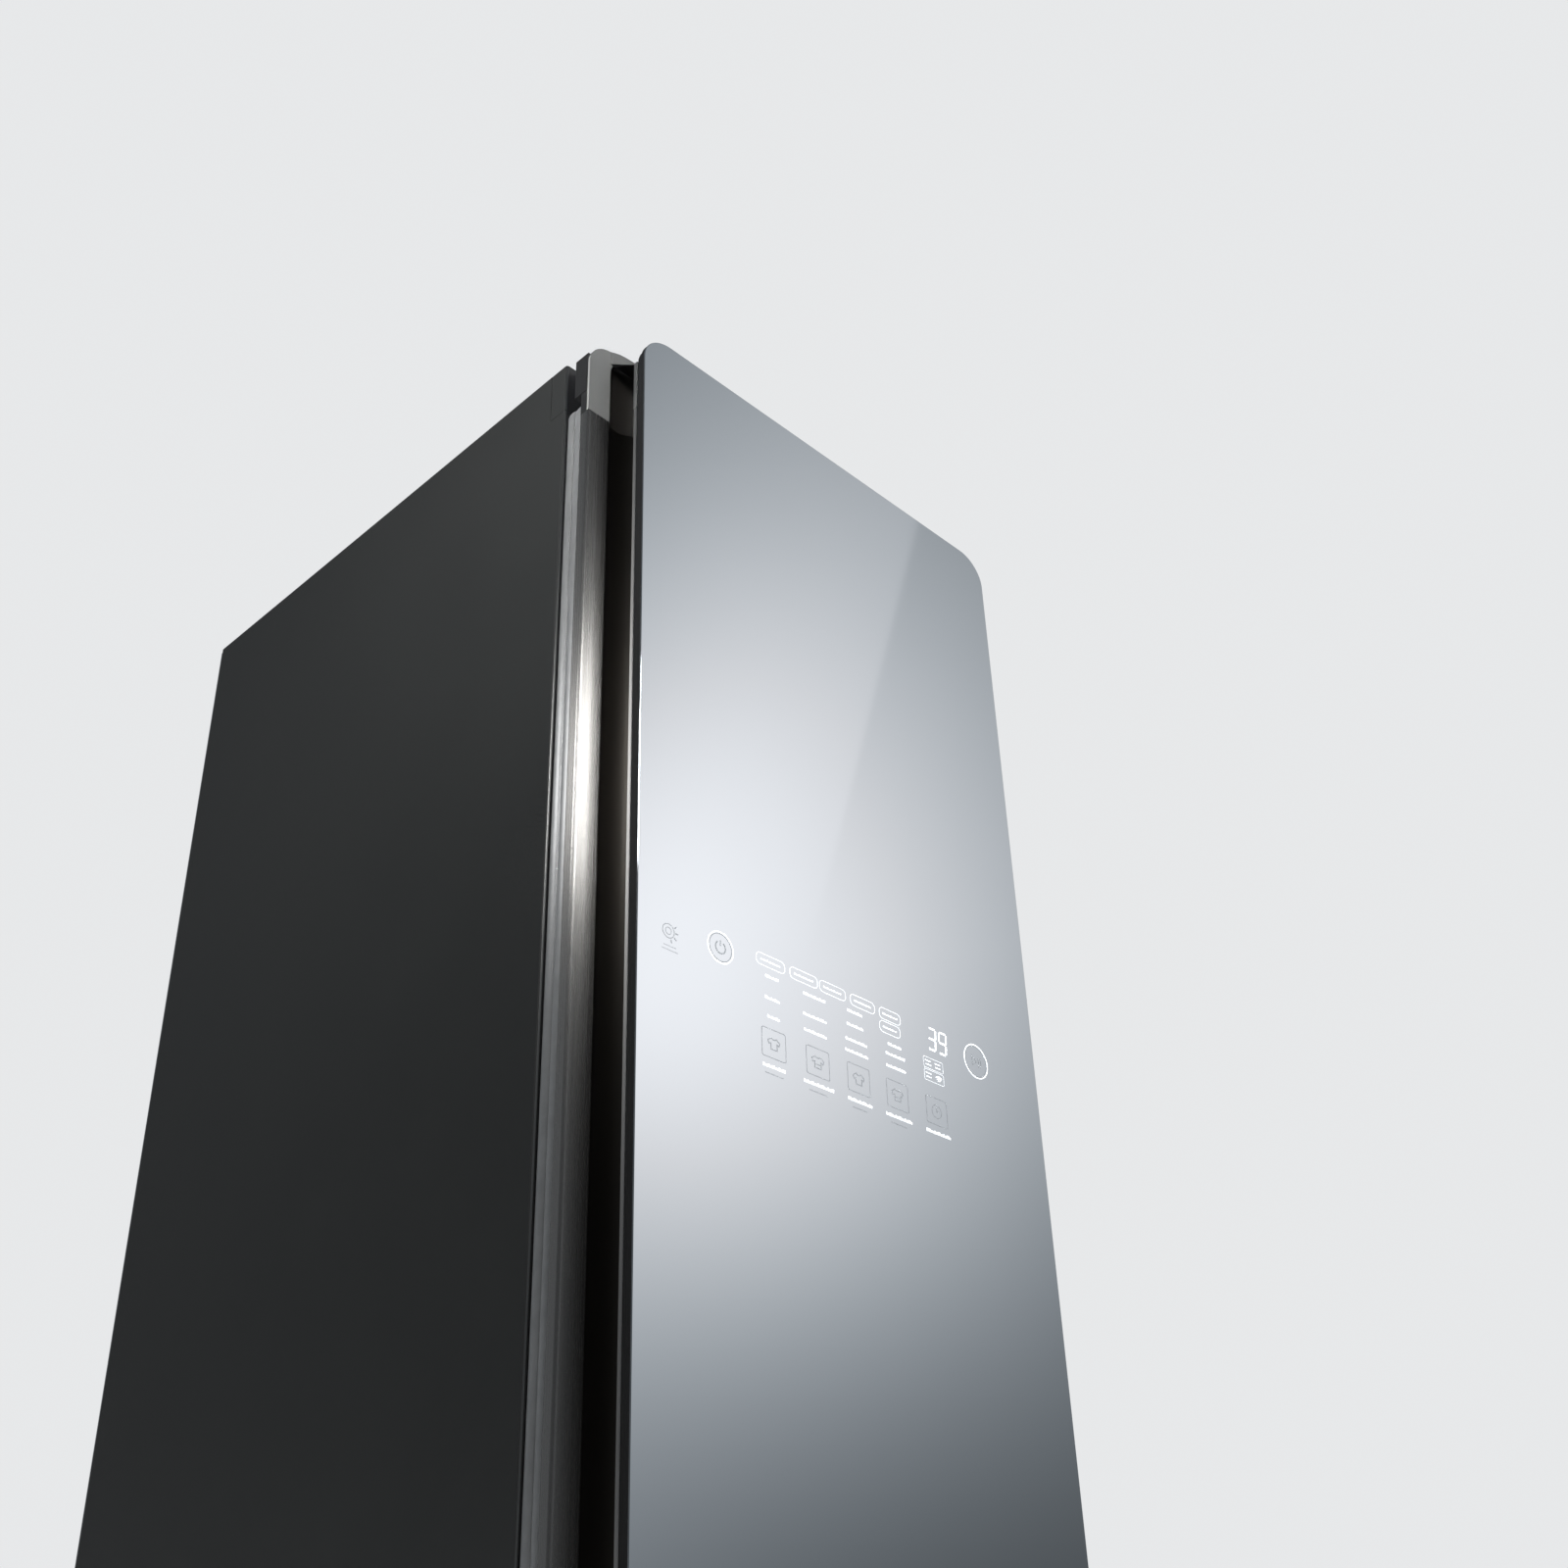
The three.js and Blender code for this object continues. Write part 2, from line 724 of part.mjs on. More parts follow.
function tankBay() {
  const outside = box(
    [-bayHalf - mouldedWall, bayHalf + mouldedWall],
    [bayFront, bayBack],
    [bayFloor - mouldedWall, bayCeiling + mouldedWall],
  );
  const pockets = [-1, 1].map((side) =>
    box(pocketRange(side), [bayFront - overrun, bayBack - mouldedWall], [bayFloor, bayCeiling]),
  );
  const valveHoles = [-1, 1].map((side) => {
    const place = [middleOf(tankRange(side)), tankFloor + spigotLift];
    const throughBack = [bayBack - mouldedWall - overrun, bayBack + overrun];
    return disc('y', place, spigotRadius + slideGap, throughBack);
  });
  return cut(outside, pockets, valveHoles);
}

function waterTank(side) {
  const [x0, x1] = tankRange(side);
  const middle = middleOf([x0, x1]);
  const outside = roundedRect([x0, x1], [tankFront, tankBack], tankCorner);
  const inside = roundedRect(
    [x0 + tankWall, x1 - tankWall],
    [tankFront + tankWall, tankBack - tankWall],
    tankCorner - tankWall,
  );
  const gripTop = tankTop - tankGripDrop;
  const gripWalls = box(
    [middle - tankGripWidth / 2 - tankWall, middle + tankGripWidth / 2 + tankWall],
    [tankFront - overrun, tankFront + tankGripDepth + tankWall],
    [gripTop - tankGripHeight - tankWall, gripTop + tankWall],
  );
  const grip = box(
    [middle - tankGripWidth / 2, middle + tankGripWidth / 2],
    [tankFront - overrun, tankFront + tankGripDepth],
    [gripTop - tankGripHeight, gripTop],
  );
  const water = cut(extrude('z', inside, [tankFloor + tankWall, tankTop + overrun]), gripWalls);
  const valve = [middle, tankFloor + spigotLift];
  const spigotEnd = tankBack + spigotReach;
  const spigot = disc('y', valve, spigotRadius, [tankBack - bite, spigotEnd]);
  const bore = disc('y', valve, spigotBore, [tankBack - tankWall - overrun, spigotEnd + overrun]);
  const shell = cut(extrude('z', outside, [tankFloor, tankTop]), water, grip);
  return cut(fuse(shell, spigot), bore);
}

function tankLid(side, mouth) {
  const [x0, x1] = tankRange(side);
  const low = tankTop + seatGap;
  const place = [middleOf([x0, x1]), tankFront + mouthSetback];
  const high = low + lidThickness;
  const plan = roundedRect([x0, x1], [tankFront, tankBack], tankCorner);
  const plate = extrude('z', plan, [low, high]);
  const collar = disc('z', place, mouth + tankWall, [high - bite, high + lidCollar]);
  const opening = disc('z', place, mouth, [low - overrun, high + lidCollar + overrun]);
  return cut(fuse(plate, collar), opening);
}

// Heat exchangers in their tray

const trayLeft = -200;
const trayWidth = 200;
const trayHeight = 250;
const trayDepth = 118;
const trayWall = 2;
const trayGap = 16;
const packDepth = 42;
const packGap = 12;
const finCount = 22;
const finSlot = 4.5;
const packRim = 8;
const trayFront = bayBack + trayGap;
const trayFloor = panFloor + seatGap;

function exchangerTray() {
  const [x0, x1] = [trayLeft, trayLeft + trayWidth];
  const top = trayFloor + trayHeight;
  const section = outline([
    [x0, trayFloor],
    [x1, trayFloor],
    [x1, top],
    [x1 - trayWall, top],
    [x1 - trayWall, trayFloor + trayWall],
    [x0 + trayWall, trayFloor + trayWall],
    [x0 + trayWall, top],
    [x0, top],
  ]);
  return extrude('y', section, [trayFront, trayFront + trayDepth]);
}

function finPack(row) {
  const inset = trayWall + seatGap;
  const [x0, x1] = [trayLeft + inset, trayLeft + trayWidth - inset];
  const [z0, z1] = [trayFloor + inset, trayFloor + trayHeight - packRim];
  const face = roundedRect([x0, x1], [z0, z1], 0);
  const places = spread(finCount, x0 + packRim + finSlot, x1 - packRim - finSlot);
  const height = z1 - z0 - 2 * packRim;
  slotHoles(face, places.map((x) => [x, (z0 + z1) / 2]), [finSlot, height]);
  const start = trayFront + packGap + row * (packDepth + packGap);
  return extrude('y', face, [start, start + packDepth]);
}

// Blower: scroll housing, wheel and motor

const scrollX = -20;
const scrollHeight = 140;
const scrollGap = 8;
const scrollDepth = 76;
const scrollRadius = 72;
const scrollGrowth = 28;
const scrollWall = 2;
const outletTop = 300;
const inletRadius = 46;
const wheelRadius = 62;
const wheelInner = 48;
const wheelGap = 6;
const wheelPlate = 3;
const bladeCount = 20;
const bladeThickness = 1.6;
const bladeAngle = 0.6;
const hubRadius = 12;
const shaftRadius = 4;
const motorCapLength = 6;
const shaftReach = 16;
const motorRadius = 34;
const motorLength = 34;
const motorCapRadius = 18.7;
const legWidth = 14;
const legSpread = 32.4;
const scrollSteps = 20;
const scrollTurn = 1.5 * Math.PI;
const scrollPlace = [scrollX, scrollHeight];
const scrollFront = trayFront + trayDepth + scrollGap;
const scrollBack = scrollFront + scrollDepth;
const wheelBack = scrollBack - scrollWall - wheelGap;
const wheelFront = scrollFront + scrollWall + wheelGap;

// The scroll starts narrow on the right of its outlet and widens round to the left of it.
function scrollOutline(extra, top) {
  const [cx, cz] = scrollPlace;
  const points = spread(scrollSteps + 1, 0, 1).map((share) => {
    const angle = Math.PI / 2 - share * scrollTurn;
    const radius = scrollRadius + extra + scrollGrowth * share;
    return [cx + radius * Math.cos(angle), cz + radius * Math.sin(angle)];
  });
  const inner = cx - inletRadius / 2 + extra;
  const outer = cx - scrollRadius - scrollGrowth - extra;
  return outline([[inner, top], [inner, points[0][1]], ...points, [outer, top]]);
}

function blowerHousing() {
  const [cx, cz] = scrollPlace;
  const shell = extrude('y', scrollOutline(scrollWall, outletTop), [scrollFront, scrollBack]);
  const room = extrude('y', scrollOutline(0, outletTop + overrun), [
    scrollFront + scrollWall,
    scrollBack - scrollWall,
  ]);
  const throughFront = [scrollFront - overrun, scrollFront + scrollWall + overrun];
  const throughBack = [scrollBack - scrollWall - overrun, scrollBack + overrun];
  const inlet = disc('y', scrollPlace, inletRadius, throughFront);
  const shaftHole = disc('y', scrollPlace, hubRadius + slideGap, throughBack);
  const footTop = cz - scrollRadius;
  const legs = [-1, 1].map((side) => {
    const x = cx + side * legSpread;
    return box(
      [x - legWidth / 2, x + legWidth / 2],
      [scrollFront, scrollBack],
      [panFloor + seatGap, footTop + legWidth],
    );
  });
  return cut(fuse(shell, legs), room, inlet, shaftHole);
}

function blowerWheel() {
  const [cx, cz] = scrollPlace;
  const plate = disc('y', scrollPlace, wheelRadius, [wheelBack - wheelPlate, wheelBack]);
  const ring = tube('y', scrollPlace, wheelRadius, wheelInner, [wheelFront, wheelFront + wheelPlate]);
  const blades = Array.from({ length: bladeCount }, (_, i) => {
    const blade = new THREE.BoxGeometry(
      bladeThickness,
      wheelBack - wheelFront - wheelPlate,
      wheelRadius - wheelInner - bite,
    );
    blade.rotateY(bladeAngle);
    blade.translate(0, (wheelBack + wheelFront) / 2, (wheelRadius + wheelInner) / 2 - bite);
    blade.rotateY((i / bladeCount) * 2 * Math.PI);
    blade.translate(cx, 0, cz);
    return toSolid(blade);
  });
  const hubRange = [wheelBack - wheelPlate - hubRadius, scrollBack - seatGap];
  const hub = disc('y', scrollPlace, hubRadius, hubRange);
  const shaft = disc('y', scrollPlace, shaftRadius, [wheelBack - bite, scrollBack + shaftReach]);
  return fuse(plate, ring, blades, hub, shaft);
}

function blowerMotor() {
  const start = scrollBack + seatGap;
  const end = start + motorLength;
  const shaftRoom = [start - overrun, scrollBack + shaftReach + slideGap];
  const can = disc('y', scrollPlace, motorRadius, [start, end]);
  const cap = disc('y', scrollPlace, motorCapRadius, [end - bite, end + motorCapLength]);
  const bearing = disc('y', scrollPlace, shaftRadius + pinGap, shaftRoom);
  return cut(fuse(can, cap), bearing);
}

// Rear air duct from the blower outlet up to the grille behind the chamber

const ductHalf = 119;
const ductWall = 2;
const ductGap = 2;
const ductHead = 24;

function rearDuct() {
  const low = outletTop + seatGap;
  const top = grilleLow + grilleHeight + ductHead;
  const nearChamber = chamberBack + mouldedWall + seatGap;
  const step = linerUnder - seatGap;
  const ductBack = back - sheetThickness - seatGap;
  const path = (grow) => outline([
    [scrollFront + grow, low - (grow ? overrun : 0)],
    [ductBack - grow, low - (grow ? overrun : 0)],
    [ductBack - grow, top - grow],
    [nearChamber + grow, top - grow],
    [nearChamber + grow, step - grow],
    [scrollFront + grow, step - grow],
  ]);
  const shell = extrude('x', path(0), [-ductHalf, ductHalf]);
  const air = extrude('x', path(ductWall), [-ductHalf + ductWall, ductHalf - ductWall]);
  const mouth = box(
    [-grilleWidth / 2 - ductGap, grilleWidth / 2 + ductGap],
    [nearChamber - overrun, nearChamber + ductWall + overrun],
    [grilleLow - ductGap, grilleLow + grilleHeight + ductGap],
  );
  const louvreRoom = box(
    [-grilleWidth / 2 - ductGap, grilleWidth / 2 + ductGap],
    [nearChamber - overrun, chamberBack + louvreDepth + ductGap],
    [grilleLow - ductGap, grilleLow + grilleHeight + ductGap],
  );
  return cut(shell, air, mouth, louvreRoom);
}

// Compressor on its posts

const compressorX = 150;
const compressorSetback = 107.5; // from the cabinet's back
const compressorRadius = 46;
const compressorDome = 20.7;
const domeShares = [[0.86, 0.385], [0.45, 0.083]]; // of the radius and of the dome's height
const compressorHeight = 170;
const compressorLift = 36;
const compressorPlate = 4;
const compressorSpread = 42;
const postRadius = 6;
const compressorPlateEdge = 9;
const accumulatorRadius = 15;
const accumulatorCone = 9;
const accumulatorLift = 20;
const accumulatorSides = 10;
const accumulatorGap = 5;
const strapHeight = 12;
const accumulatorHeight = 110;
const compressorPlace = [compressorX, back - compressorSetback];
const compressorPosts = [[-1, -1], [1, -1], [1, 1], [-1, 1]].map(([a, b]) => [
  compressorPlace[0] + a * compressorSpread,
  compressorPlace[1] + b * compressorSpread,
]);

function compressor() {
  const [cx, cy] = compressorPlace;
  const dome = domeShares.map(([radiusShare, dropShare]) => [
    compressorRadius * radiusShare,
    compressorHeight - compressorDome * dropShare,
  ]);
  const profile = [
    [0, 0],
    [compressorRadius - compressorDome / 2, 0],
    [compressorRadius, compressorDome / 2],
    [compressorRadius, compressorHeight - compressorDome],
    ...dome,
    [0, compressorHeight],
  ];
  const can = turned(profile, [cx, cy, compressorLift]);
  const half = compressorSpread + compressorPlateEdge;
  const plate = extrude(
    'z',
    roundedRect([cx - half, cx + half], [cy - half, cy + half], postRadius),
    [compressorLift, compressorLift + compressorPlate],
  );
  const x = cx - compressorRadius - accumulatorGap - accumulatorRadius;
  const low = compressorLift + accumulatorLift;
  const flask = turned(
    [
      [0, 0],
      [accumulatorRadius, accumulatorCone],
      [accumulatorRadius, accumulatorHeight - accumulatorCone],
      [0, accumulatorHeight],
    ],
    [x, cy, low],
    accumulatorSides,
  );
  const strap = box(
    [x, cx],
    [cy - postRadius, cy + postRadius],
    [low + accumulatorHeight / 2, low + accumulatorHeight / 2 + strapHeight],
  );
  return fuse(can, plate, flask, strap);
}

// Steam generator, its pipe, the pumps and the power board box

const boilerLeft = 62;
const boilerWidth = 126;
const boilerDepth = 80;
const boilerHeight = 104;
const boilerLift = 60;
const boilerGap = 28;
const boilerCorner = 14;
const boilerEdge = 4.7;
const boilerLeg = 4;
const boilerNeck = 16;
const boilerNeckRadius = 9;
const pipeRadius = 6;
const pipeBore = 4.5;
const pipeRiseShares = [0, 0.2, 0.35, 0.5, 0.65, 0.8, 1];
const pipeShiftShares = [0, 0, 0, 0.5, 1, 1, 1];
const boilerFront = bayBack + boilerGap;

function boilerNeckPlace() {
  return [boilerLeft + boilerWidth / 2, boilerFront + boilerDepth / 2];
}

function steamGenerator() {
  const [x0, x1] = [boilerLeft, boilerLeft + boilerWidth];
  const [y0, y1] = [boilerFront, boilerFront + boilerDepth];
  const top = boilerLift + boilerHeight;
  const plan = roundedRect([x0, x1], [y0, y1], boilerCorner);
  const body = softExtrude('z', plan, [boilerLift, top], boilerEdge);
  const legRange = [panFloor + seatGap, boilerLift + bite];
  const legs = [x0 + boilerCorner, x1 - boilerCorner].flatMap((x) =>
    [y0 + boilerCorner, y1 - boilerCorner].map((y) =>
      disc('z', [x, y], boilerLeg, legRange, bendSteps),
    ),
  );
  const neck = disc('z', boilerNeckPlace(), boilerNeckRadius, [top - bite, top + boilerNeck]);
  return fuse(body, legs, neck);
}

function steamPipe() {
  const [x0, y0] = boilerNeckPlace();
  const [x1, y1] = nozzlePlace;
  const low = boilerLift + boilerHeight + boilerNeck + seatGap;
  const high = chamberFloorHeight - nozzleLength;
  const points = pipeRiseShares.map((riseShare, i) => {
    const shiftShare = pipeShiftShares[i];
    return [x0 + (x1 - x0) * shiftShare, y0 + (y1 - y0) * shiftShare, low + (high - low) * riseShare];
  });
  return pipe(points, pipeRadius, pipeBore, roundSteps * 2);
}

const pumpLength = 62;
const pumpWidth = 30;
const pumpRadius = 13;
const pumpCanLength = 37.2;
const pumpHeadRadius = 10.4;
const pumpFoot = 4;
const pumpGap = 8;

function pump(x0) {
  const low = panFloor + seatGap;
  const y0 = boilerFront;
  const middle = x0 + pumpWidth / 2;
  const foot = box([x0, x0 + pumpWidth], [y0, y0 + pumpLength], [low, low + pumpFoot]);
  const centre = [middle, low + pumpRadius];
  const can = disc('y', centre, pumpRadius, [y0, y0 + pumpCanLength]);
  const head = disc('y', centre, pumpHeadRadius, [y0 + pumpCanLength - bite, y0 + pumpLength]);
  return fuse(foot, can, head);
}

const boardBoxLeft = 120;
const boardBoxWidth = 84;
const boardBoxDepth = 138;
const boardBoxOver = 56; // above the compressor
const boardBoxUnder = 25.5; // below the chamber liner
const boardBoxCorner = 5;
const grooveCount = 6;
const grooveInset = 10;
const grooveEnd = 15;

function powerBoardBox() {
  const [x0, x1] = [boardBoxLeft, boardBoxLeft + boardBoxWidth];
  const low = compressorLift + compressorHeight + boardBoxOver;
  const high = linerUnder - boardBoxUnder;
  const y1 = back - sheetThickness - seatGap;
  const y0 = y1 - boardBoxDepth;
  const shell = extrude('y', roundedRect([x0, x1], [low, high], boardBoxCorner), [y0, y1]);
  const grooves = spread(grooveCount, low + grooveEnd, high - grooveEnd).map((z) =>
    box(
      [x0 + grooveInset, x1 - grooveInset],
      [y0 - overrun, y0 + mouldedWall],
      [z - mouldedWall, z + mouldedWall],
    ),
  );
  return cut(shell, grooves);
}

// Hanger drive over the chamber: frame with guide rods, geared motor, crank, carriage and bar

const driveHalfWidth = 112;
const driveHalfDepth = 62;
const drivePlate = 3;
const rodRadius = 5;
const rodSpread = 38;
const rodLift = 26;
const standWidth = 8;
const carriageHalf = 56;
const carriageDepth = 50;
const carriageHeight = 18;
const carriageCorner = 4;
const crankReach = 12;
const crankRadius = 20;
const crankThickness = 5;
const crankPin = 3.5;
const crankGap = 2;
const yokeClearance = 1.6;
const bridgeThickness = 3;
const gearMotorRadius = 24;
const gearMotorHeight = 30;
const earReach = 36;
const earWidth = 24;
const earCorner = 6;
const yokeLength = 7;
const wellShares = [0.35, 0.85]; // of the carriage's half width
const wellHalfDepth = 22.8;
const barHalf = 150;
const barHeight = 26;
const barDepth = 14;
const barDrop = 44; // free space between the chamber ceiling and the bar, for hanger hooks
const notchWidth = 9;
const notchDepth = 3;
const notchShares = [0.35, 0.75]; // along the free bar beyond each arm
const driveFloor = linerTop + seatGap;
const rodHeight = driveFloor + rodLift;
const carriageTop = rodHeight + carriageHeight / 2;
const carriageBottom = rodHeight - carriageHeight / 2;
const crankBottom = carriageTop + crankGap;
const bridgeLow = crankBottom + crankThickness + crankGap;
const bridgeTop = bridgeLow + bridgeThickness;

function driveFrame() {
  const slotHalf = armWidth / 2 + shakeReach + armClearance;
  const [widths, depths] = [driveHalfWidth, driveHalfDepth].map((half) => [-half, half]);
  const plan = roundedRect(widths, depths, trimCorner);
  const places = [-armHalfSpacing, armHalfSpacing].map((x) => [x, 0]);
  slotHoles(plan, places, [2 * slotHalf, armDepth + 2 * armClearance]);
  const plate = extrude('z', plan, [driveFloor, driveFloor + drivePlate]);
  const stands = [-1, 1].map((side) => {
    const outer = side * (driveHalfWidth - standWidth);
    const range = [outer, outer + side * standWidth].sort((a, b) => a - b);
    return box(range, depths, [driveFloor, bridgeTop]);
  });
  const rodEnd = driveHalfWidth - standWidth / 2;
  const rods = [-rodSpread, rodSpread].map((y) =>
    disc('x', [y, rodHeight], rodRadius, [-rodEnd, rodEnd], rodSteps),
  );
  const bridge = box(
    [-driveHalfWidth, driveHalfWidth],
    [-crankRadius - standWidth, crankRadius + standWidth],
    [bridgeLow, bridgeTop],
  );
  const shaftHole = disc('z', [0, 0], shaftRadius + pinGap, [bridgeLow - overrun, bridgeTop + overrun]);
  return cut(fuse(plate, stands, rods, bridge), shaftHole);
}

function hangerMotor() {
  const low = bridgeTop + seatGap;
  const can = disc('z', [0, 0], gearMotorRadius, [low, low + gearMotorHeight]);
  const earPlan = roundedRect([-earReach, earReach], [-earWidth / 2, earWidth / 2], earCorner);
  const ears = extrude('z', earPlan, [low, low + drivePlate]);
  const bearing = disc('z', [0, 0], shaftRadius + pinGap, [low - overrun, low + shaftReach]);
  return cut(fuse(can, ears), bearing);
}

function crankDisc() {
  const plate = disc('z', [0, 0], crankRadius, [crankBottom, crankBottom + crankThickness]);
  const top = bridgeTop + seatGap + shaftReach - crankGap;
  const shaft = disc('z', [0, 0], shaftRadius, [crankBottom + crankThickness - bite, top]);
  const pin = disc('z', [0, crankReach], crankPin, [rodHeight, crankBottom + bite]);
  return fuse(plate, shaft, pin);
}

function hangerCarriage() {
  const plan = roundedRect([-carriageHalf, carriageHalf], [-carriageDepth, carriageDepth], carriageCorner);
  const block = extrude('z', plan, [carriageBottom, carriageTop]);
  const boreEnd = carriageHalf + overrun;
  const bores = [-rodSpread, rodSpread].map((y) =>
    disc('x', [y, rodHeight], rodRadius + pinGap, [-boreEnd, boreEnd], rodSteps),
  );
  const slotHalf = crankPin + yokeClearance;
  const yoke = extrude(
    'z',
    roundedRect([-slotHalf, slotHalf], [-yokeLength, crankReach + slotHalf], crankPin),
    [rodHeight - crankGap, carriageTop + overrun],
  );
  const sideWells = [-1, 1].map((side) => {
    const range = wellShares.map((share) => side * carriageHalf * share).sort((a, b) => a - b);
    return box(range, [-wellHalfDepth, wellHalfDepth], [rodHeight, carriageTop + overrun]);
  });
  return cut(block, bores, yoke, sideWells);
}

function hangerBar() {
  const top = chamberCeiling - barDrop;
  const low = top - barHeight;
  const taper = barHeight / 2;
  const bar = outline([
    [-barHalf + taper, low],
    [barHalf - taper, low],
    [barHalf, top],
    [-barHalf, top],
  ]);
  const room = barHalf - armHalfSpacing - armWidth;
  const free = [-1, 1].flatMap((side) =>
    notchShares.map((share) => side * (armHalfSpacing + armWidth / 2 + room * share)),
  );
  const notches = [...free, 0].map((x) =>
    disc('y', [x, top + notchWidth / 2 - notchDepth], notchWidth / 2, [-barDepth, barDepth]),
  );
  const arms = [-armHalfSpacing, armHalfSpacing].map((x) =>
    box(
      [x - armWidth / 2, x + armWidth / 2],
      [-armDepth / 2, armDepth / 2],
      [top - bite, carriageBottom - seatGap],
    ),
  );
  const body = extrude('y', bar, [-barDepth / 2, barDepth / 2]);
  return fuse(cut(body, notches), arms);
}

// Door: layers are given by their depth behind the glass front

const glassThickness = 5;
const glassCorner = 30;
const glassBevel = 0.8;
const backingThickness = 3.7;
const backingInset = 0.8;
const lipDepth = 3.4;
const stripDepth = 36; // the metal strip beside the glass lies this far behind the glass front
const stripWidth = 21.5;
const stepWidth = 1.5; // the steep step from the strip down into the groove
const stepDepth = 3.5;
const grooveReach = 30.5; // how far in behind the glass the groove's curve is drawn
const grooveLean = 1.3; // how far back its front face leans
const grooveBelly = 10; // how far its floor is drawn below the strip
const lipStep = 3.5; // from the glass edge to where the curve starts
const profileThickness = 1.5;
const profileReturn = 10;
const capLength = 78;
const capPlate = 13;
const capCorner = 15;
const capBackDepth = 38.3;
const capLipDrop = 28;
const coreInset = 54;
const hingeBlock = 42;
const linerThickness = 2.5;
const glassLeft = left + handleReach;
const hingeLeft = right - hingeBlock;
const backingFront = front + glassThickness + seatGap;
const shellFront = backingFront + backingThickness + seatGap;
const doorLinerFront = doorBack - linerThickness;
const shellBack = doorLinerFront - seatGap;
const capBack = front + capBackDepth;
const stripY = front + stripDepth;
const lipBack = shellFront + lipDepth;
const stripEnd = left + stripWidth;
const grooveLeft = stripEnd - profileThickness; // the caps reach further back beyond this
const coreLeft = left + coreInset;
const shellRight = coreLeft - seatGap; // where the handle profile and the caps' groove blocks end
const doorTop = overallHeight;
const doorLow = doorBottomHeight;

// The finger groove from the lip behind the glass round to the step up to the metal strip.
function grooveCurve() {
  const start = new THREE.Vector2(glassLeft + lipStep, lipBack);
  const pull = new THREE.Vector2(glassLeft + grooveReach, lipBack + grooveLean);
  const turn = new THREE.Vector2(glassLeft + grooveReach, stripY + grooveBelly);
  const end = new THREE.Vector2(stripEnd + stepWidth, stripY + stepDepth);
  const curve = new THREE.CubicBezierCurve(start, pull, turn, end);
  const points = curve.getPoints(roundSteps).map((point) => [point.x, point.y]);
  return [[glassLeft, lipBack], ...points, [stripEnd, stripY]];
}

function handleSection() {
  return [
    [shellRight, shellFront],
    [glassLeft, shellFront],
    ...grooveCurve(),
    [left, stripY],
    [left, doorBack],
    [left + profileReturn, doorBack],
  ];
}

function handleProfile() {
  const range = [doorLow + capLength + seatGap, doorTop - capLength - seatGap];
  return extrude('z', ribbon(handleSection(), -profileThickness), range);
}

function rightEdgeProfile() {
  const path = [
    [right - profileReturn, shellFront],
    [right, shellFront],
    [right, doorBack],
    [right - profileReturn, doorBack],
  ];
  const range = [doorLow + capLength + seatGap, doorTop - capLength - seatGap];
  return extrude('z', ribbon(rounded(path, foldRadius), profileThickness), range);
}

function doorGlass() {
  const pane = roundedRect([glassLeft, right], [doorLow, doorTop], glassCorner);
  return softExtrude('y', pane, [front, front + glassThickness], glassBevel, fineSteps);
}

const windowDrop = 504; // from the door's top to the window for the touch board
const windowHeight = 124;
const windowLeft = -156;
const windowWidth = 340;
const windowCorner = 7;
const windowLow = doorTop - windowDrop - windowHeight;

function glassBacking() {
  const sheet = roundedRect(
    [glassLeft + backingInset, right - backingInset],
    [doorLow + backingInset, doorTop - backingInset],
    glassCorner - backingInset,
  );
  sheet.holes.push(
    roundedRect(
      [windowLeft, windowLeft + windowWidth],
      [windowLow, windowLow + windowHeight],
      windowCorner,
    ),
  );
  return extrude('y', sheet, [backingFront, backingFront + backingThickness], fineSteps);
}

// The touch and display board sits in a well of the door core, behind the window in the backing.
const boardThickness = 6;
const boardMargin = 8;
const chipShares = [0.2, 0.4, 0.6, 0.8]; // along the board
const chipHeight = 3;
const chipHalfWidth = 8;
const chipInset = 16;
const wellDepth = 9.3;

function boardRange() {
  return {
    x: [windowLeft - boardMargin, windowLeft + windowWidth + boardMargin],
    z: [windowLow - boardMargin, windowLow + windowHeight + boardMargin],
    y: [shellFront, shellFront + boardThickness],
  };
}

function displayBoard() {
  const { x, y, z } = boardRange();
  const board = box(x, y, z);
  const chips = chipShares.map((share) => {
    const middle = x[0] + (x[1] - x[0]) * share;
    return box(
      [middle - chipHalfWidth, middle + chipHalfWidth],
      [y[1] - bite, y[1] + chipHeight],
      [z[0] + chipInset, z[1] - chipInset],
    );
  });
  return fuse(board, chips);
}

function doorSilhouette() {
  return roundedRect(
    [left, right],
    [doorLow + backingInset, doorTop - backingInset],
    [capCorner, glassCorner, glassCorner, capCorner],
  );
}

const coreRib = 4;
const coreColumns = 2;
const coreRows = 9;
const coreRightInset = 3;

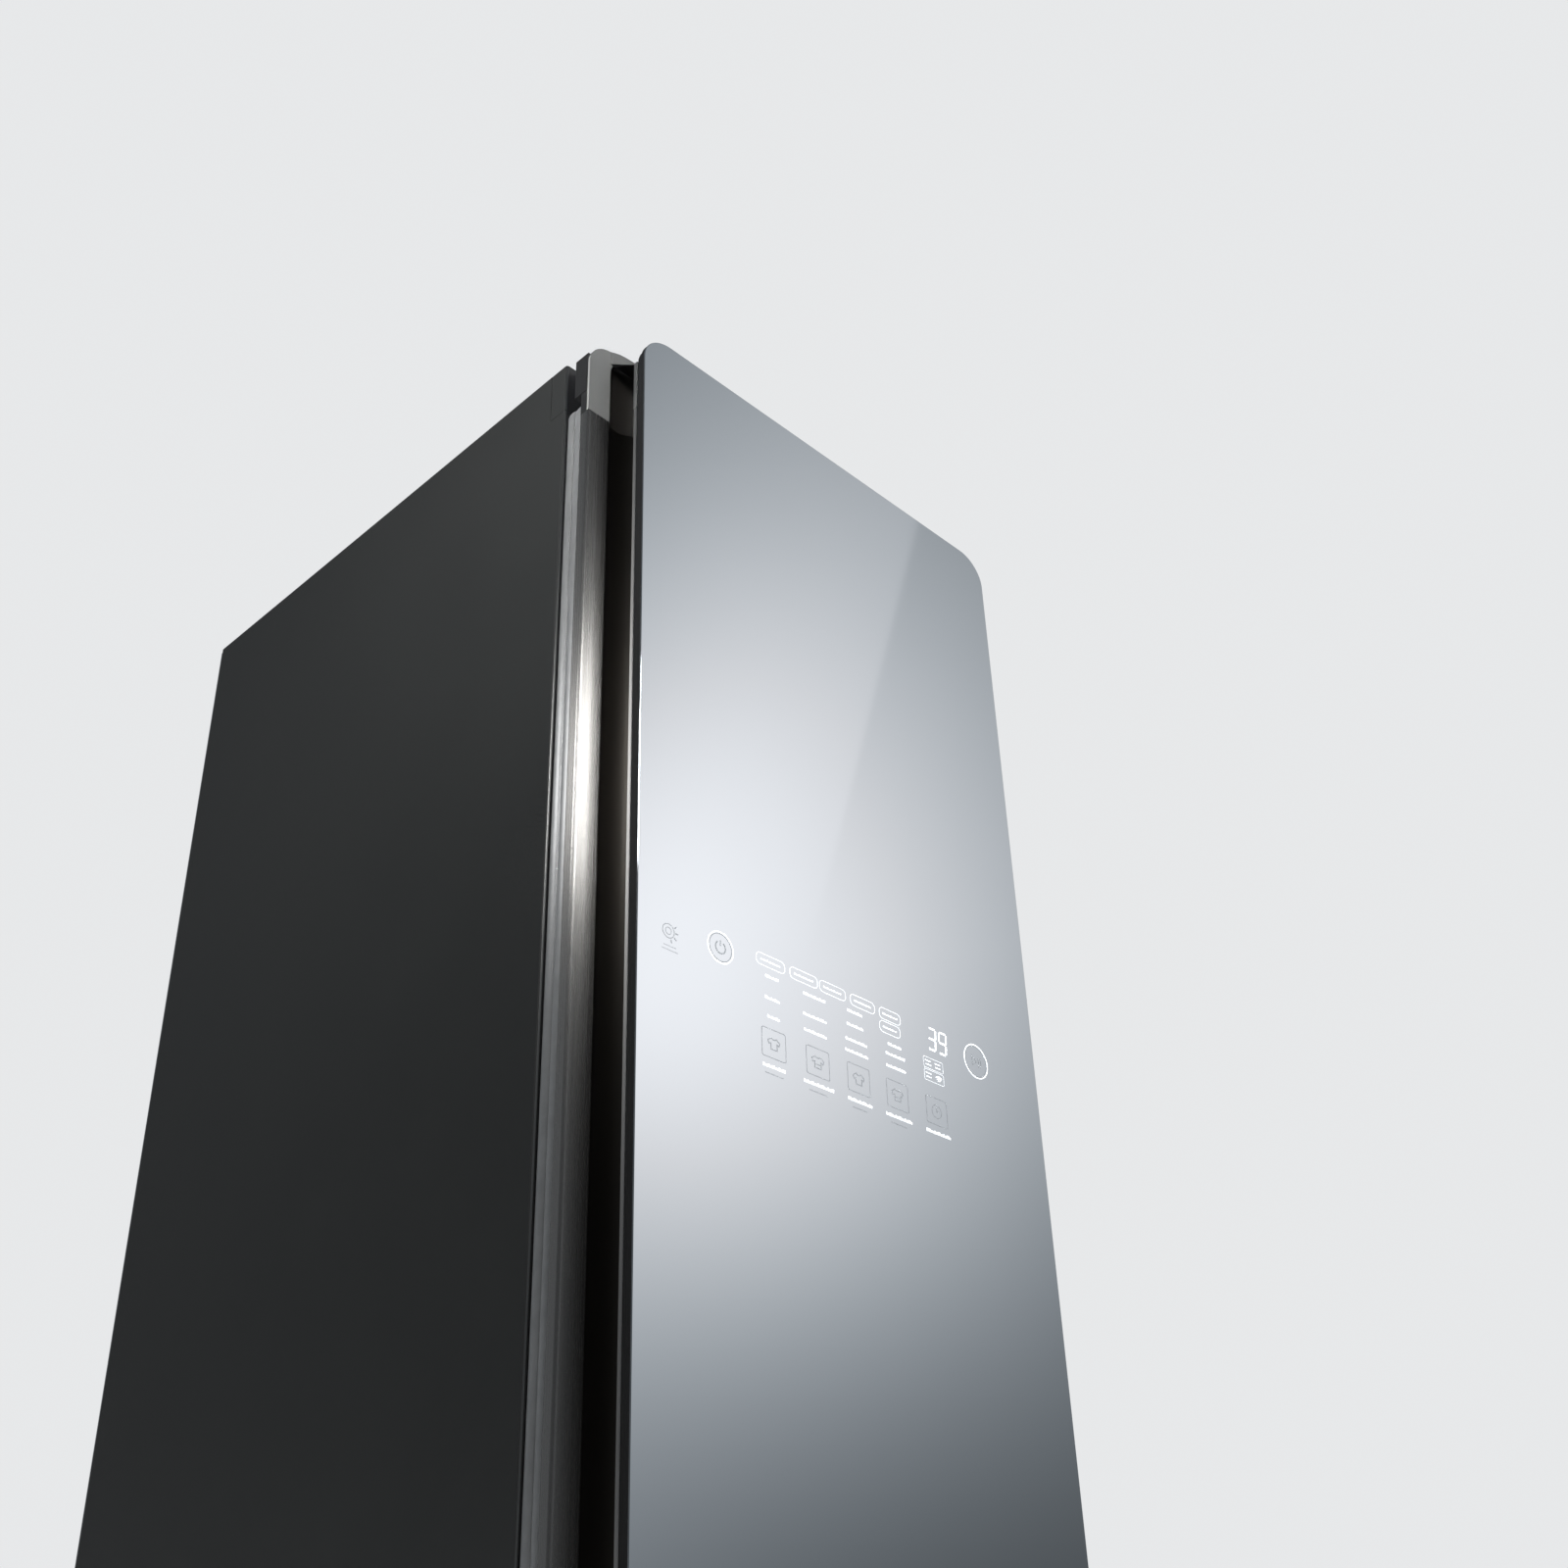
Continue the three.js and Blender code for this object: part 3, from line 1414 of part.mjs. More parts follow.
// The door core is an open lattice of ribs, which the backing and the door liner close.
function doorCore() {
  const [x0, x1] = [coreLeft, right - coreRightInset];
  const [z0, z1] = [doorLow + capPlate + seatGap, doorTop - capPlate - seatGap];
  const face = roundedRect([x0, x1], [z0, z1], 0);
  const cell = [(x1 - x0 - coreRib) / coreColumns, (z1 - z0 - coreRib) / coreRows];
  const places = [];
  for (let column = 0; column < coreColumns; column += 1) {
    for (let row = 0; row < coreRows; row += 1) {
      const u = x0 + (coreRib + cell[0]) / 2 + cell[0] * column;
      const v = z0 + (coreRib + cell[1]) / 2 + cell[1] * row;
      places.push([u, v]);
    }
  }
  slotHoles(face, places, [cell[0] - coreRib, cell[1] - coreRib]);
  const lattice = extrude('y', face, [shellFront, shellBack]);
  const { x, y, z } = boardRange();
  const well = box(
    [x[0] - seatGap, x[1] + seatGap],
    [y[0] - overrun, y[0] + wellDepth],
    [z[0] - seatGap, z[1] + seatGap],
  );
  const ends = [1, -1].map((end) => {
    const trimRange = fromEnd(end, -overrun, innerTrimDrop + seatGap);
    const blockRange = fromEnd(end, -overrun, capLength + seatGap);
    return fuse(
      box([left, right], [capBack, doorBack], trimRange),
      box([hingeLeft - seatGap, right + overrun], [shellFront - overrun, doorBack], blockRange),
      box([right - profileReturn - seatGap, right + overrun], [front, doorBack], [doorLow, doorTop]),
    );
  });
  return cut(lattice, well, ends);
}

// Heights counted inwards from the top (end 1) or the bottom (end -1) of the door.
function fromEnd(end, near, far) {
  return end > 0 ? [doorTop - far, doorTop - near] : [doorLow + near, doorLow + far];
}

const innerTrimDrop = 55;
const innerTrimStart = 14.3;
const innerTrimReach = 8;
const hingeInset = 8;
const hingeDepth = 28; // from the glass front to the hinge axis
const hingePinRadius = 4;
const hingePinReach = 20;
const bracketThickness = 3;
const bracketRound = 12;
const bracketWidth = 40;
const hingeAxis = [right - hingeInset, front + hingeDepth];

// Moulded end caps: they close the finger groove and carry the hinge pins.
function doorCap(end) {
  const corner = outline([
    [glassLeft, shellFront],
    [shellRight, shellFront],
    [shellRight, shellBack],
    [grooveLeft, shellBack],
    [grooveLeft, capBack],
    [left, capBack],
    [left, stripY],
    ...grooveCurve().reverse(),
  ]);
  const block = extrude('z', corner, fromEnd(end, capPlate - bite, capLength));
  const beyondLip = box(
    [left - overrun, shellRight - profileThickness],
    [shellFront - overrun, stripY],
    fromEnd(end, -overrun, capLipDrop),
  );
  const plate = box([left, right], [shellFront, shellBack], fromEnd(end, 0, capPlate));
  const hinge = box(
    [hingeLeft, right],
    [shellFront, capBack],
    fromEnd(end, capPlate - bite, capLength),
  );
  const holeDepth = hingePinReach + cabinetTopDrop + overrun;
  const holeRange = fromEnd(end, -overrun, holeDepth);
  const axisHole = disc('z', hingeAxis, hingePinRadius + pinGap, holeRange);
  const whole = cut(fuse(block, plate, hinge), beyondLip, axisHole);
  const shaped = whole.intersect(extrude('y', doorSilhouette(), [front, back], fineSteps));
  return end > 0 ? cut(shaped, hingeNotch()) : shaped;
}

// Room for the upper hinge bracket, which turns over the door's top corner.
function hingeNotch() {
  return box(
    [hingeLeft, right + overrun],
    [hingeAxis[1] - Math.hypot(hingeInset, bracketRound) - slideGap, back],
    [cabinetTop - slideGap, doorTop + overrun],
  );
}

// Dark inner trim behind each cap, beyond the end of the seal.
function innerTrim(end) {
  const near = capBack + seatGap;
  const far = doorBack + innerTrimReach;
  const start = capPlate + seatGap;
  const bar = box([left, right], [near, shellBack], fromEnd(end, start, innerTrimDrop));
  const ledgeRange = fromEnd(end, innerTrimStart, innerTrimDrop);
  const ledge = box([left, right], [shellBack - bite, far], ledgeRange);
  const corners = [-1, 1].map((side) => {
    const range = [side * right, side * (right - profileReturn)].sort((a, b) => a - b);
    return box(range, [near, doorBack], fromEnd(end, start, capLength));
  });
  const grooveRoom = box(
    [grooveLeft - seatGap, shellRight + seatGap],
    [near - overrun, shellBack + seatGap],
    fromEnd(end, 0, capLength),
  );
  const bore = disc('z', hingeAxis, hingePinRadius + slideGap, [doorLow - overrun, doorTop + overrun]);
  return cut(fuse(bar, ledge, corners), grooveRoom, bore);
}

// Door liner with a raised rim around the press
const rimWidth = 8;
const rimHeight = 10;
const rimHalfWidth = 172;
const rimRise = 480; // from the door's foot
const rimDrop = 160; // from the door's top
const rimLow = doorLow + rimRise;
const rimHigh = doorTop - rimDrop;

function doorLiner() {
  const inset = profileReturn + seatGap;
  const low = doorLow + innerTrimDrop + seatGap;
  const high = doorTop - innerTrimDrop - seatGap;
  const sheet = roundedRect([left + inset, right - inset], [low, high], 0);
  const rim = roundedRect([-rimHalfWidth, rimHalfWidth], [rimLow, rimHigh], chamberCorner);
  rim.holes.push(
    roundedRect(
      [-rimHalfWidth + rimWidth, rimHalfWidth - rimWidth],
      [rimLow + rimWidth, rimHigh - rimWidth],
      chamberCorner - rimWidth,
    ),
  );
  return fuse(
    extrude('y', sheet, [doorLinerFront, doorBack]),
    extrude('y', rim, [doorBack - bite, doorBack + rimHeight]),
  );
}

// Door seal: a foot and two soft bulbs, one behind the other
const sealInset = 1.5;
const sealWidth = 13;
const sealNeck = 5;
const sealLowGap = 2;
const bulbSoft = 2.2;

function doorSeal() {
  const low = doorLow + innerTrimDrop + sealLowGap;
  const high = doorTop - innerTrimDrop - sealNeck / 2;
  const ring = (inset, width) => {
    const shape = roundedRect(
      [left + sealInset + inset, right - sealInset - inset],
      [low + inset, high - inset],
      sealWidth - inset,
    );
    const inner = inset + width;
    shape.holes.push(
      roundedRect(
        [left + sealInset + inner, right - sealInset - inner],
        [low + inner, high - inner],
        bulbSoft,
      ),
    );
    return shape;
  };
  const start = doorBack + seatGap;
  const end = cabinetFront - seatGap;
  const bulb = (end - start) / 2;
  const core = extrude('y', ring(sealNeck, sealWidth - 2 * sealNeck), [start, end - bite]);
  const bulbs = [start, start + bulb].map((y) =>
    softExtrude('y', ring(0, sealWidth), [y, y + bulb], bulbSoft),
  );
  return fuse(core, bulbs);
}

// Trouser press on the door liner: a padded base and a hinged cover plate
const pressHalf = 124;
const pressRise = 130; // above the foot of the liner's rim
const pressDrop = 60; // below the trouser rail
const railDrop = 90; // from the top of the liner's rim to the rail's foot
const pressBase = 12.7;
const pressGap = 5;
const pressCover = 6;
const pressBarrel = 5;
const pressPin = 2.4;
const pressPinReach = 14;
const lugHeight = 12;
const lugLength = 39;
const pressAxisX = 131;
const railHeight = rimHigh - railDrop;
const pressLow = rimLow + pressRise;
const pressHigh = railHeight - pressDrop;
const pressFront = doorBack + seatGap;
const pressFace = pressFront + pressBase;
const coverFront = pressFace + pressGap;
const pressAxisY = coverFront + pressBarrel;
const coverLow = pressLow + lugHeight + seatGap;
const coverHigh = pressHigh - lugHeight - seatGap;

function pressBoard() {
  const board = roundedRect([-pressHalf, pressHalf], [pressLow, pressHigh], chamberCorner);
  const body = extrude('y', board, [pressFront, pressFace]);
  const lugs = [
    [pressLow, pressLow + lugHeight],
    [pressHigh - lugHeight, pressHigh],
  ].map((range) => {
    const arm = box(
      [pressAxisX - lugLength, pressAxisX + pressBarrel],
      [pressFront, pressAxisY],
      range,
    );
    return fuse(arm, disc('z', [pressAxisX, pressAxisY], pressBarrel, range));
  });
  const pins = [
    [pressLow + lugHeight - bite, pressLow + lugHeight + pressPinReach],
    [pressHigh - lugHeight - pressPinReach, pressHigh - lugHeight + bite],
  ].map((range) => disc('z', [pressAxisX, pressAxisY], pressPin, range));
  return fuse(body, lugs, pins);
}

const coverEdge = 10;
const coverRibCount = 6;
const coverRib = 5;
const coverRibInset = 40;
const coverGrip = 5;
const coverGripInset = 40;

function pressPlate() {
  const face = roundedRect([-pressHalf, pressAxisX], [coverLow, coverHigh], coverEdge);
  const plate = extrude('y', face, [coverFront, coverFront + pressCover]);
  const ribRange = [coverLow + coverRibInset, coverHigh - coverRibInset];
  const ribs = spread(coverRibCount, ...ribRange).map((z) =>
    box(
      [-pressHalf + coverEdge, pressHalf - coverEdge],
      [coverFront + pressCover - bite, coverFront + pressCover + coverRib],
      [z - coverRib, z + coverRib],
    ),
  );
  const grip = box(
    [-pressHalf, -pressHalf + coverGrip],
    [coverFront + bite, coverFront + pressCover + coverEdge],
    [coverLow + coverGripInset, coverHigh - coverGripInset],
  );
  const barrel = disc('z', [pressAxisX, pressAxisY], pressBarrel, [coverLow, coverHigh]);
  const boreRange = [coverLow - overrun, coverHigh + overrun];
  const bore = disc('z', [pressAxisX, pressAxisY], pressPin + pinGap, boreRange);
  return cut(fuse(plate, ribs, grip, barrel), bore);
}

const railHalf = 70;
const railThickness = 8;
const railDepth = 16;
const pegRadius = 4;
const pegReach = 22;

// The rail with two pegs that a trouser hanger hooks on, above the press.
function trouserRail() {
  const [low, high] = [railHeight, railHeight + railDepth];
  const face = roundedRect([-railHalf, railHalf], [low, high], railThickness / 2);
  const rail = extrude('y', face, [pressFront, pressFront + railThickness]);
  const pegs = [-1, 1].map((side) => {
    const place = [side * (railHalf - railDepth), (low + high) / 2];
    return disc('y', place, pegRadius, [pressFront + bite, pressFront + pegReach]);
  });
  return fuse(rail, pegs);
}

// Hinge brackets of the door, each with its pin

const tabWidth = 34;
const bracketBack = 62;

function bracketPlan() {
  const [x, y] = hingeAxis;
  const edge = right - edgeFold / 2;
  const shape = new THREE.Shape();
  shape.moveTo(edge - bracketWidth, cabinetFront + bracketBack);
  shape.lineTo(edge - bracketWidth, cabinetFront);
  shape.lineTo(x - bracketRound, y + bracketRound);
  shape.lineTo(x - bracketRound, y);
  shape.absarc(x, y, bracketRound, Math.PI, 1.5 * Math.PI);
  shape.lineTo(right, y - bracketRound);
  shape.lineTo(right, y);
  shape.lineTo(edge, cabinetFront);
  shape.lineTo(edge, cabinetFront + bracketBack);
  return shape;
}

function upperHingeBracket() {
  const low = cabinetTop + seatGap;
  const plate = extrude('z', bracketPlan(), [low, low + bracketThickness], cornerSteps);
  const pin = disc('z', hingeAxis, hingePinRadius, [low - hingePinReach, low + bite]);
  return fuse(plate, pin);
}

function lowerHingeBracket() {
  const top = doorLow - seatGap;
  const low = top - bracketThickness;
  const [x, y] = hingeAxis;
  const edge = right - edgeFold - seatGap;
  const plan = roundedRect(
    [edge - tabWidth, right],
    [y - bracketRound, cabinetFront - seatGap],
    [bracketRound, 0, 0, 0],
  );
  const plate = extrude('z', plan, [low, top]);
  const tab = box(
    [edge - tabWidth, edge],
    [cabinetFront - bracketThickness, panFront - seatGap],
    [baseLift + seatGap, top],
  );
  const pin = disc('z', [x, y], hingePinRadius, [top - bite, top + hingePinReach]);
  return fuse(plate, tab, pin);
}

// Finishes: colour, roughness, metalness
const finishes = {
  sheet: [0x4b4d4f, 0.42, 0.75],
  steel: [0x9a9b9c, 0.35, 0.9],
  brushed: [0x86857f, 0.3, 1],
  mirror: [0xaeb4bb, 0.05, 0.6],
  black: [0x0d0e10, 0.45, 0],
  dark: [0x2a2c2e, 0.5, 0],
  cap: [0x6f7172, 0.4, 0.2],
  white: [0xd9dcde, 0.45, 0],
  grey: [0xa9adb0, 0.5, 0],
  rubber: [0xa5a8aa, 0.7, 0],
  smoked: [0x5d6a73, 0.15, 0],
  lens: [0xf2f4f5, 0.2, 0],
  board: [0x1f4a35, 0.6, 0],
  copper: [0x9c5a38, 0.35, 1],
  mesh: [0x8f9498, 0.8, 0],
};

const pieces = [
  ['base_frame', baseFrame, 'steel'],
  ['left_side_panel', () => sidePanel(-1), 'sheet'],
  ['right_side_panel', () => sidePanel(1), 'sheet'],
  ['back_panel', backPanel, 'steel'],
  ['top_cover', topCover, 'sheet'],
  ['top_front_trim', topFrontTrim, 'sheet'],
  ['cable_gland', cableGland, 'black'],
  ['front_frame', frontFrame, 'grey'],
  ['chamber_liner', chamberLiner, 'white'],
  ['air_grille', airGrille, 'grey'],
  ['steam_nozzle', steamNozzle, 'white'],
  ['chamber_lamp', chamberLamp, 'lens'],
  ['shelf', shelf, 'grey'],
  ['lint_filter', lintFilter, 'dark'],
  ['lint_screen', lintScreen, 'mesh'],
  ['scent_cartridge', scentCartridge, 'grey'],
  ['tank_bay', tankBay, 'grey'],
  ['supply_tank', () => waterTank(-1), 'smoked'],
  ['supply_tank_lid', () => tankLid(-1, supplyMouth), 'grey'],
  ['drain_tank', () => waterTank(1), 'smoked'],
  ['drain_tank_lid', () => tankLid(1, drainMouth), 'dark'],
  ['exchanger_tray', exchangerTray, 'grey'],
  ['evaporator', () => finPack(0), 'steel'],
  ['condenser', () => finPack(1), 'copper'],
  ['blower_housing', blowerHousing, 'dark'],
  ['blower_wheel', blowerWheel, 'black'],
  ['blower_motor', blowerMotor, 'steel'],
  ['rear_duct', rearDuct, 'grey'],
  ['compressor', compressor, 'black'],
  ['steam_generator', steamGenerator, 'steel'],
  ['steam_pipe', steamPipe, 'rubber'],
  ['supply_pump', () => pump(boilerLeft + pumpWidth), 'dark'],
  ['drain_pump', () => pump(pumpGap), 'dark'],
  ['power_board_box', powerBoardBox, 'grey'],
  ['drive_frame', driveFrame, 'steel'],
  ['hanger_motor', hangerMotor, 'steel'],
  ['crank_disc', crankDisc, 'steel'],
  ['hanger_carriage', hangerCarriage, 'grey'],
  ['hanger_bar', hangerBar, 'brushed'],
  ['upper_hinge_bracket', upperHingeBracket, 'steel'],
  ['lower_hinge_bracket', lowerHingeBracket, 'steel'],
  ['door_glass', doorGlass, 'mirror'],
  ['glass_backing', glassBacking, 'black'],
  ['handle_profile', handleProfile, 'brushed'],
  ['right_edge_profile', rightEdgeProfile, 'brushed'],
  ['door_core', doorCore, 'dark'],
  ['door_top_cap', () => doorCap(1), 'cap'],
  ['door_bottom_cap', () => doorCap(-1), 'cap'],
  ['inner_top_trim', () => innerTrim(1), 'dark'],
  ['inner_bottom_trim', () => innerTrim(-1), 'dark'],
  ['door_liner', doorLiner, 'white'],
  ['door_seal', doorSeal, 'rubber'],
  ['display_board', displayBoard, 'board'],
  ['press_board', pressBoard, 'grey'],
  ['press_plate', pressPlate, 'grey'],
  ['trouser_rail', trouserRail, 'steel'],
];

function toMesh(name, solid, [color, roughness, metalness]) {
  const { vertProperties, triVerts } = solid.getMesh();
  const geometry = new THREE.BufferGeometry();
  geometry.setAttribute('position', new THREE.BufferAttribute(Float32Array.from(vertProperties), 3));
  geometry.setIndex(new THREE.BufferAttribute(Uint32Array.from(triVerts), 1));
  geometry.computeVertexNormals();
  const mesh = new THREE.Mesh(geometry, new THREE.MeshStandardMaterial({ color, roughness, metalness }));
  mesh.name = name;
  return mesh;
}

const cabinet = new THREE.Group();
for (const [name, make, finish] of pieces) cabinet.add(toMesh(name, make(), finishes[finish]));
for (const [corner, place] of Object.entries(footPlaces)) {
  cabinet.add(toMesh(`levelling_foot_${corner}`, levellingFoot(place), finishes.black));
}

export default cabinet;
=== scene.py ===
# %% [markdown]
# # A clothes care steam cabinet
# A tall slim cabinet that steams and shakes clothes on hangers. Its door is a mirror glass pane
# with touch marks behind it, held by a brushed metal profile with a finger groove down its left
# edge. The frame of solids comes first, then the studio, the finishes, and one step per piece.

# %% Frame
from math import cos, pi, radians, sin

import bmesh
import bpy
from mathutils import Matrix, Vector


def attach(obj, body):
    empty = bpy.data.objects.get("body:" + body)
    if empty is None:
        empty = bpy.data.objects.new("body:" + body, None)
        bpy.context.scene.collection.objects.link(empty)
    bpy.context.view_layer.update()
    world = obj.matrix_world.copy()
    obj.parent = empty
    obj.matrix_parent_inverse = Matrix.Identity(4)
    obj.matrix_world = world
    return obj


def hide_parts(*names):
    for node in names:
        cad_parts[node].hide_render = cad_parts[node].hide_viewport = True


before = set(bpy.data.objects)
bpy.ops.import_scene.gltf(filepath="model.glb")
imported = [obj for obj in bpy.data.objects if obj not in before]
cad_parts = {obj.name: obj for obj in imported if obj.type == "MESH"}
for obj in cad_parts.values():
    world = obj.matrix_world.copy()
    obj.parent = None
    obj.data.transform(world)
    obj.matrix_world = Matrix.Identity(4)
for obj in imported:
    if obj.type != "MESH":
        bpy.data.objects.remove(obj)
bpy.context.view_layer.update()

# Lengths of pieces are in millimetres in the frame's own axes, and MM turns them to metres.
MM = 0.001
FLOOR_Z = 0.0
LEFT, RIGHT = -222.5, 222.5
FRONT, BACK = -292.5, 292.5
TOP = 1850.0
DOOR_LOW = 40.0
DOOR_BACK = FRONT + 46.0
CABINET_FRONT = DOOR_BACK + 19.0
CABINET_TOP = 1841.3
GLASS_LEFT = LEFT + 26.0

# %% [markdown]
# ## Camera
# The picture was taken from low on the left of the door, looking up along it, so the mirror
# leans away and the narrow metal profile, the seal and the side sheet show as upright stripes.
# The place and angles come from lining up the cabinet's straight edges.

# %% Camera
CAMERA_PLACE = (-0.9036, -1.0961, 0.7094)
YAW, PITCH, ROLL = radians(46.15), radians(32.05), radians(-1.78)
FOCAL_PIXELS, FRAME_PIXELS = 1927.41, 1600.0
PRINCIPAL_X, PRINCIPAL_Y = 788.73, 844.78


def new_object(name, data):
    made = bpy.data.objects.new(name, data)
    bpy.context.collection.objects.link(made)
    return made


def aim_camera():
    forward = Vector((sin(YAW) * cos(PITCH), cos(YAW) * cos(PITCH), sin(PITCH)))
    level = Vector((cos(YAW), -sin(YAW), 0.0))
    upright = level.cross(forward)
    across = cos(ROLL) * level + sin(ROLL) * upright
    up = -sin(ROLL) * level + cos(ROLL) * upright
    data = bpy.data.cameras.new("camera")
    data.sensor_fit = "HORIZONTAL"
    data.sensor_width = 36.0
    data.lens = FOCAL_PIXELS / FRAME_PIXELS * data.sensor_width
    data.shift_x = (FRAME_PIXELS / 2 - PRINCIPAL_X) / FRAME_PIXELS
    data.shift_y = (PRINCIPAL_Y - FRAME_PIXELS / 2) / FRAME_PIXELS
    data.clip_start = 0.02
    camera = new_object("camera", data)
    turn = Matrix((across, up, -forward)).transposed()
    camera.matrix_world = Matrix.Translation(CAMERA_PLACE) @ turn.to_4x4()
    bpy.context.scene.camera = camera
    return camera


camera = aim_camera()
bpy.context.scene.view_settings.view_transform = "Standard"
print("lens", round(camera.data.lens, 2), "mm")
print("shift", round(camera.data.shift_x, 4), round(camera.data.shift_y, 4))

# %% [markdown]
# ## Node trees
# Every finish is a small tree of shader nodes, and the shelf's bars are a tree of geometry nodes.
# A few helpers keep each recipe short: they add a node with its settings, wire a chain, or make
# a pattern. All patterns are in metres on the object.

# %% Node helpers
class Tree:
    """The node tree of a material, a world or a modifier, with short calls to fill it."""

    def __init__(self, tree):
        self.tree = tree
        self.tree.nodes.clear()
        self.coordinates = None

    def join(self, output, socket):
        self.tree.links.new(output, socket)

    def node(self, kind, values=None, **settings):
        """Adds a node; each value is either a plain one or the output of another node."""
        made = self.tree.nodes.new(kind)
        for name, value in settings.items():
            setattr(made, name, value)
        for name, value in (values or {}).items():
            if isinstance(value, bpy.types.NodeSocket):
                self.join(value, made.inputs[name])
            else:
                made.inputs[name].default_value = value
        return made

    def math(self, operation, *values):
        return self.node("ShaderNodeMath", dict(enumerate(values)), operation=operation).outputs[0]

    def times(self, a, b):
        return self.math("MULTIPLY", a, b)

    def plus(self, a, b):
        return self.math("ADD", a, b)

    def most(self, a, b):
        return self.math("MAXIMUM", a, b)

    def spread(self, factor, low, high, start=0.0, end=1.0, **settings):
        """Turns a value that runs from start to end into one that runs from low to high."""
        values = {"Value": factor, "From Min": start, "From Max": end, "To Min": low, "To Max": high}
        return self.node("ShaderNodeMapRange", values, **settings).outputs["Result"]

    def ramp(self, factor, stops):
        made = self.node("ShaderNodeValToRGB", {"Fac": factor})
        for element, (at, color) in zip(made.color_ramp.elements, stops):
            element.position = at
            element.color = (*color, 1.0)
        return made.outputs["Color"]

    def place(self, scale=None):
        """Where a spot lies on the object, in metres, squeezed along its axes by the scale."""
        if self.coordinates is None:
            self.coordinates = self.node("ShaderNodeTexCoord").outputs["Object"]
        if scale is None:
            return self.coordinates
        return self.node("ShaderNodeMapping", {"Vector": self.coordinates, "Scale": scale}).outputs[0]

    def noise(self, size, detail, rough=0.5, stretch=None):
        values = {"Vector": self.place(stretch), "Scale": 1.0 / size, "Detail": detail, "Roughness": rough}
        return self.node("ShaderNodeTexNoise", values).outputs["Fac"]


print("a tree can", ", ".join(name for name in vars(Tree) if not name.startswith("_")))

# %% [markdown]
# ## A surface to start from
# Each finish starts from one Principled shader. A value that is the same all over stays on the
# shader's own socket, and only what changes over the surface is wired in: the tone of the
# colour, the roughness, and a fine relief.

# %% Surface helper
PALE = (0.80, 0.81, 0.82)
FINISH = {}


def keep(**finishes):
    """Stores finished materials under short names, for all pieces that share them."""
    FINISH.update(finishes)
    print("finishes:", ", ".join(finishes))


def shade(color, amount):
    return tuple(min(1.0, channel * amount) for channel in color)


class Surface(Tree):
    """A material with one Principled shader, whose even values sit on its own sockets."""

    def __init__(self, name, color, rough, metal=0.0, **sockets):
        self.material = bpy.data.materials.new(name)
        self.material.use_nodes = True
        self.material.diffuse_color = (*color, 1.0)
        super().__init__(self.material.node_tree)
        self.color, self.rough = color, rough
        self.shader = self.node("ShaderNodeBsdfPrincipled")
        self.out = self.node("ShaderNodeOutputMaterial")
        self.join(self.shader.outputs["BSDF"], self.out.inputs["Surface"])
        even = {"Base Color": (*color, 1.0), "Roughness": rough, "Metallic": metal, **sockets}
        for socket, value in even.items():
            self.shader.inputs[socket.replace("_", " ")].default_value = value

    def wire(self, socket, output):
        self.join(output, self.shader.inputs[socket])

    def toned(self, pattern, dark, light, low=0.3, high=0.7):
        """Two shades of the colour: the dark one where the pattern is low."""
        stops = [(low, shade(self.color, dark)), (high, shade(self.color, light))]
        self.wire("Base Color", self.ramp(pattern, stops))

    def uneven(self, pattern, less, more):
        """Roughness from a little less to a little more than its even value."""
        self.wire("Roughness", self.spread(pattern, self.rough - less, self.rough + more))

    def relief(self, pattern, strength, depth):
        values = {"Height": pattern, "Strength": strength, "Distance": depth}
        self.wire("Normal", self.node("ShaderNodeBump", values).outputs["Normal"])


print("half of", PALE, "is", shade(PALE, 0.5))

# %% [markdown]
# ## Studio
# The door is a mirror, so what it shows is the studio itself: one broad soft glow to the front
# right, upright enough that it fades towards the top and the foot of the glass. A straight
# change of tone beside it gives the faint slanting line that crosses the pane. To the camera
# and through clear things the studio is plain and pale, and mirrors see it so up to the horizon.

# %% Studio world
GLOW_TOWARDS = Vector((0.5925, -0.6501, 0.4757))
GLOW_ALONG = Vector((-0.0009, 0.5900, 0.8074))
GLOW_ASIDE = Vector((-0.8056, -0.4788, 0.3490))
GLOW_POWER = 0.766
GLOW_SIZES = (0.1675, 0.1288, 0.1008, 0.1599)
WIDE_POWER, WIDE_SIZES = 0.152, (0.25, 0.1142)
EDGE_NORMAL = Vector((0.7496, 0.6122, -0.2515))
EDGE_DIM = 0.227
DIM_LEVEL = 0.045
HIGH_LEVEL = 0.115
EDGE_FADE = (sin(radians(28)), sin(radians(42)))
HORIZON_FADE = (sin(radians(9)), sin(radians(-6)))
HORIZON_SHARE = 0.75
DIM_TINT, BRIGHT_TINT = (0.938, 1.008, 1.081), (1.015, 0.995, 1.013)


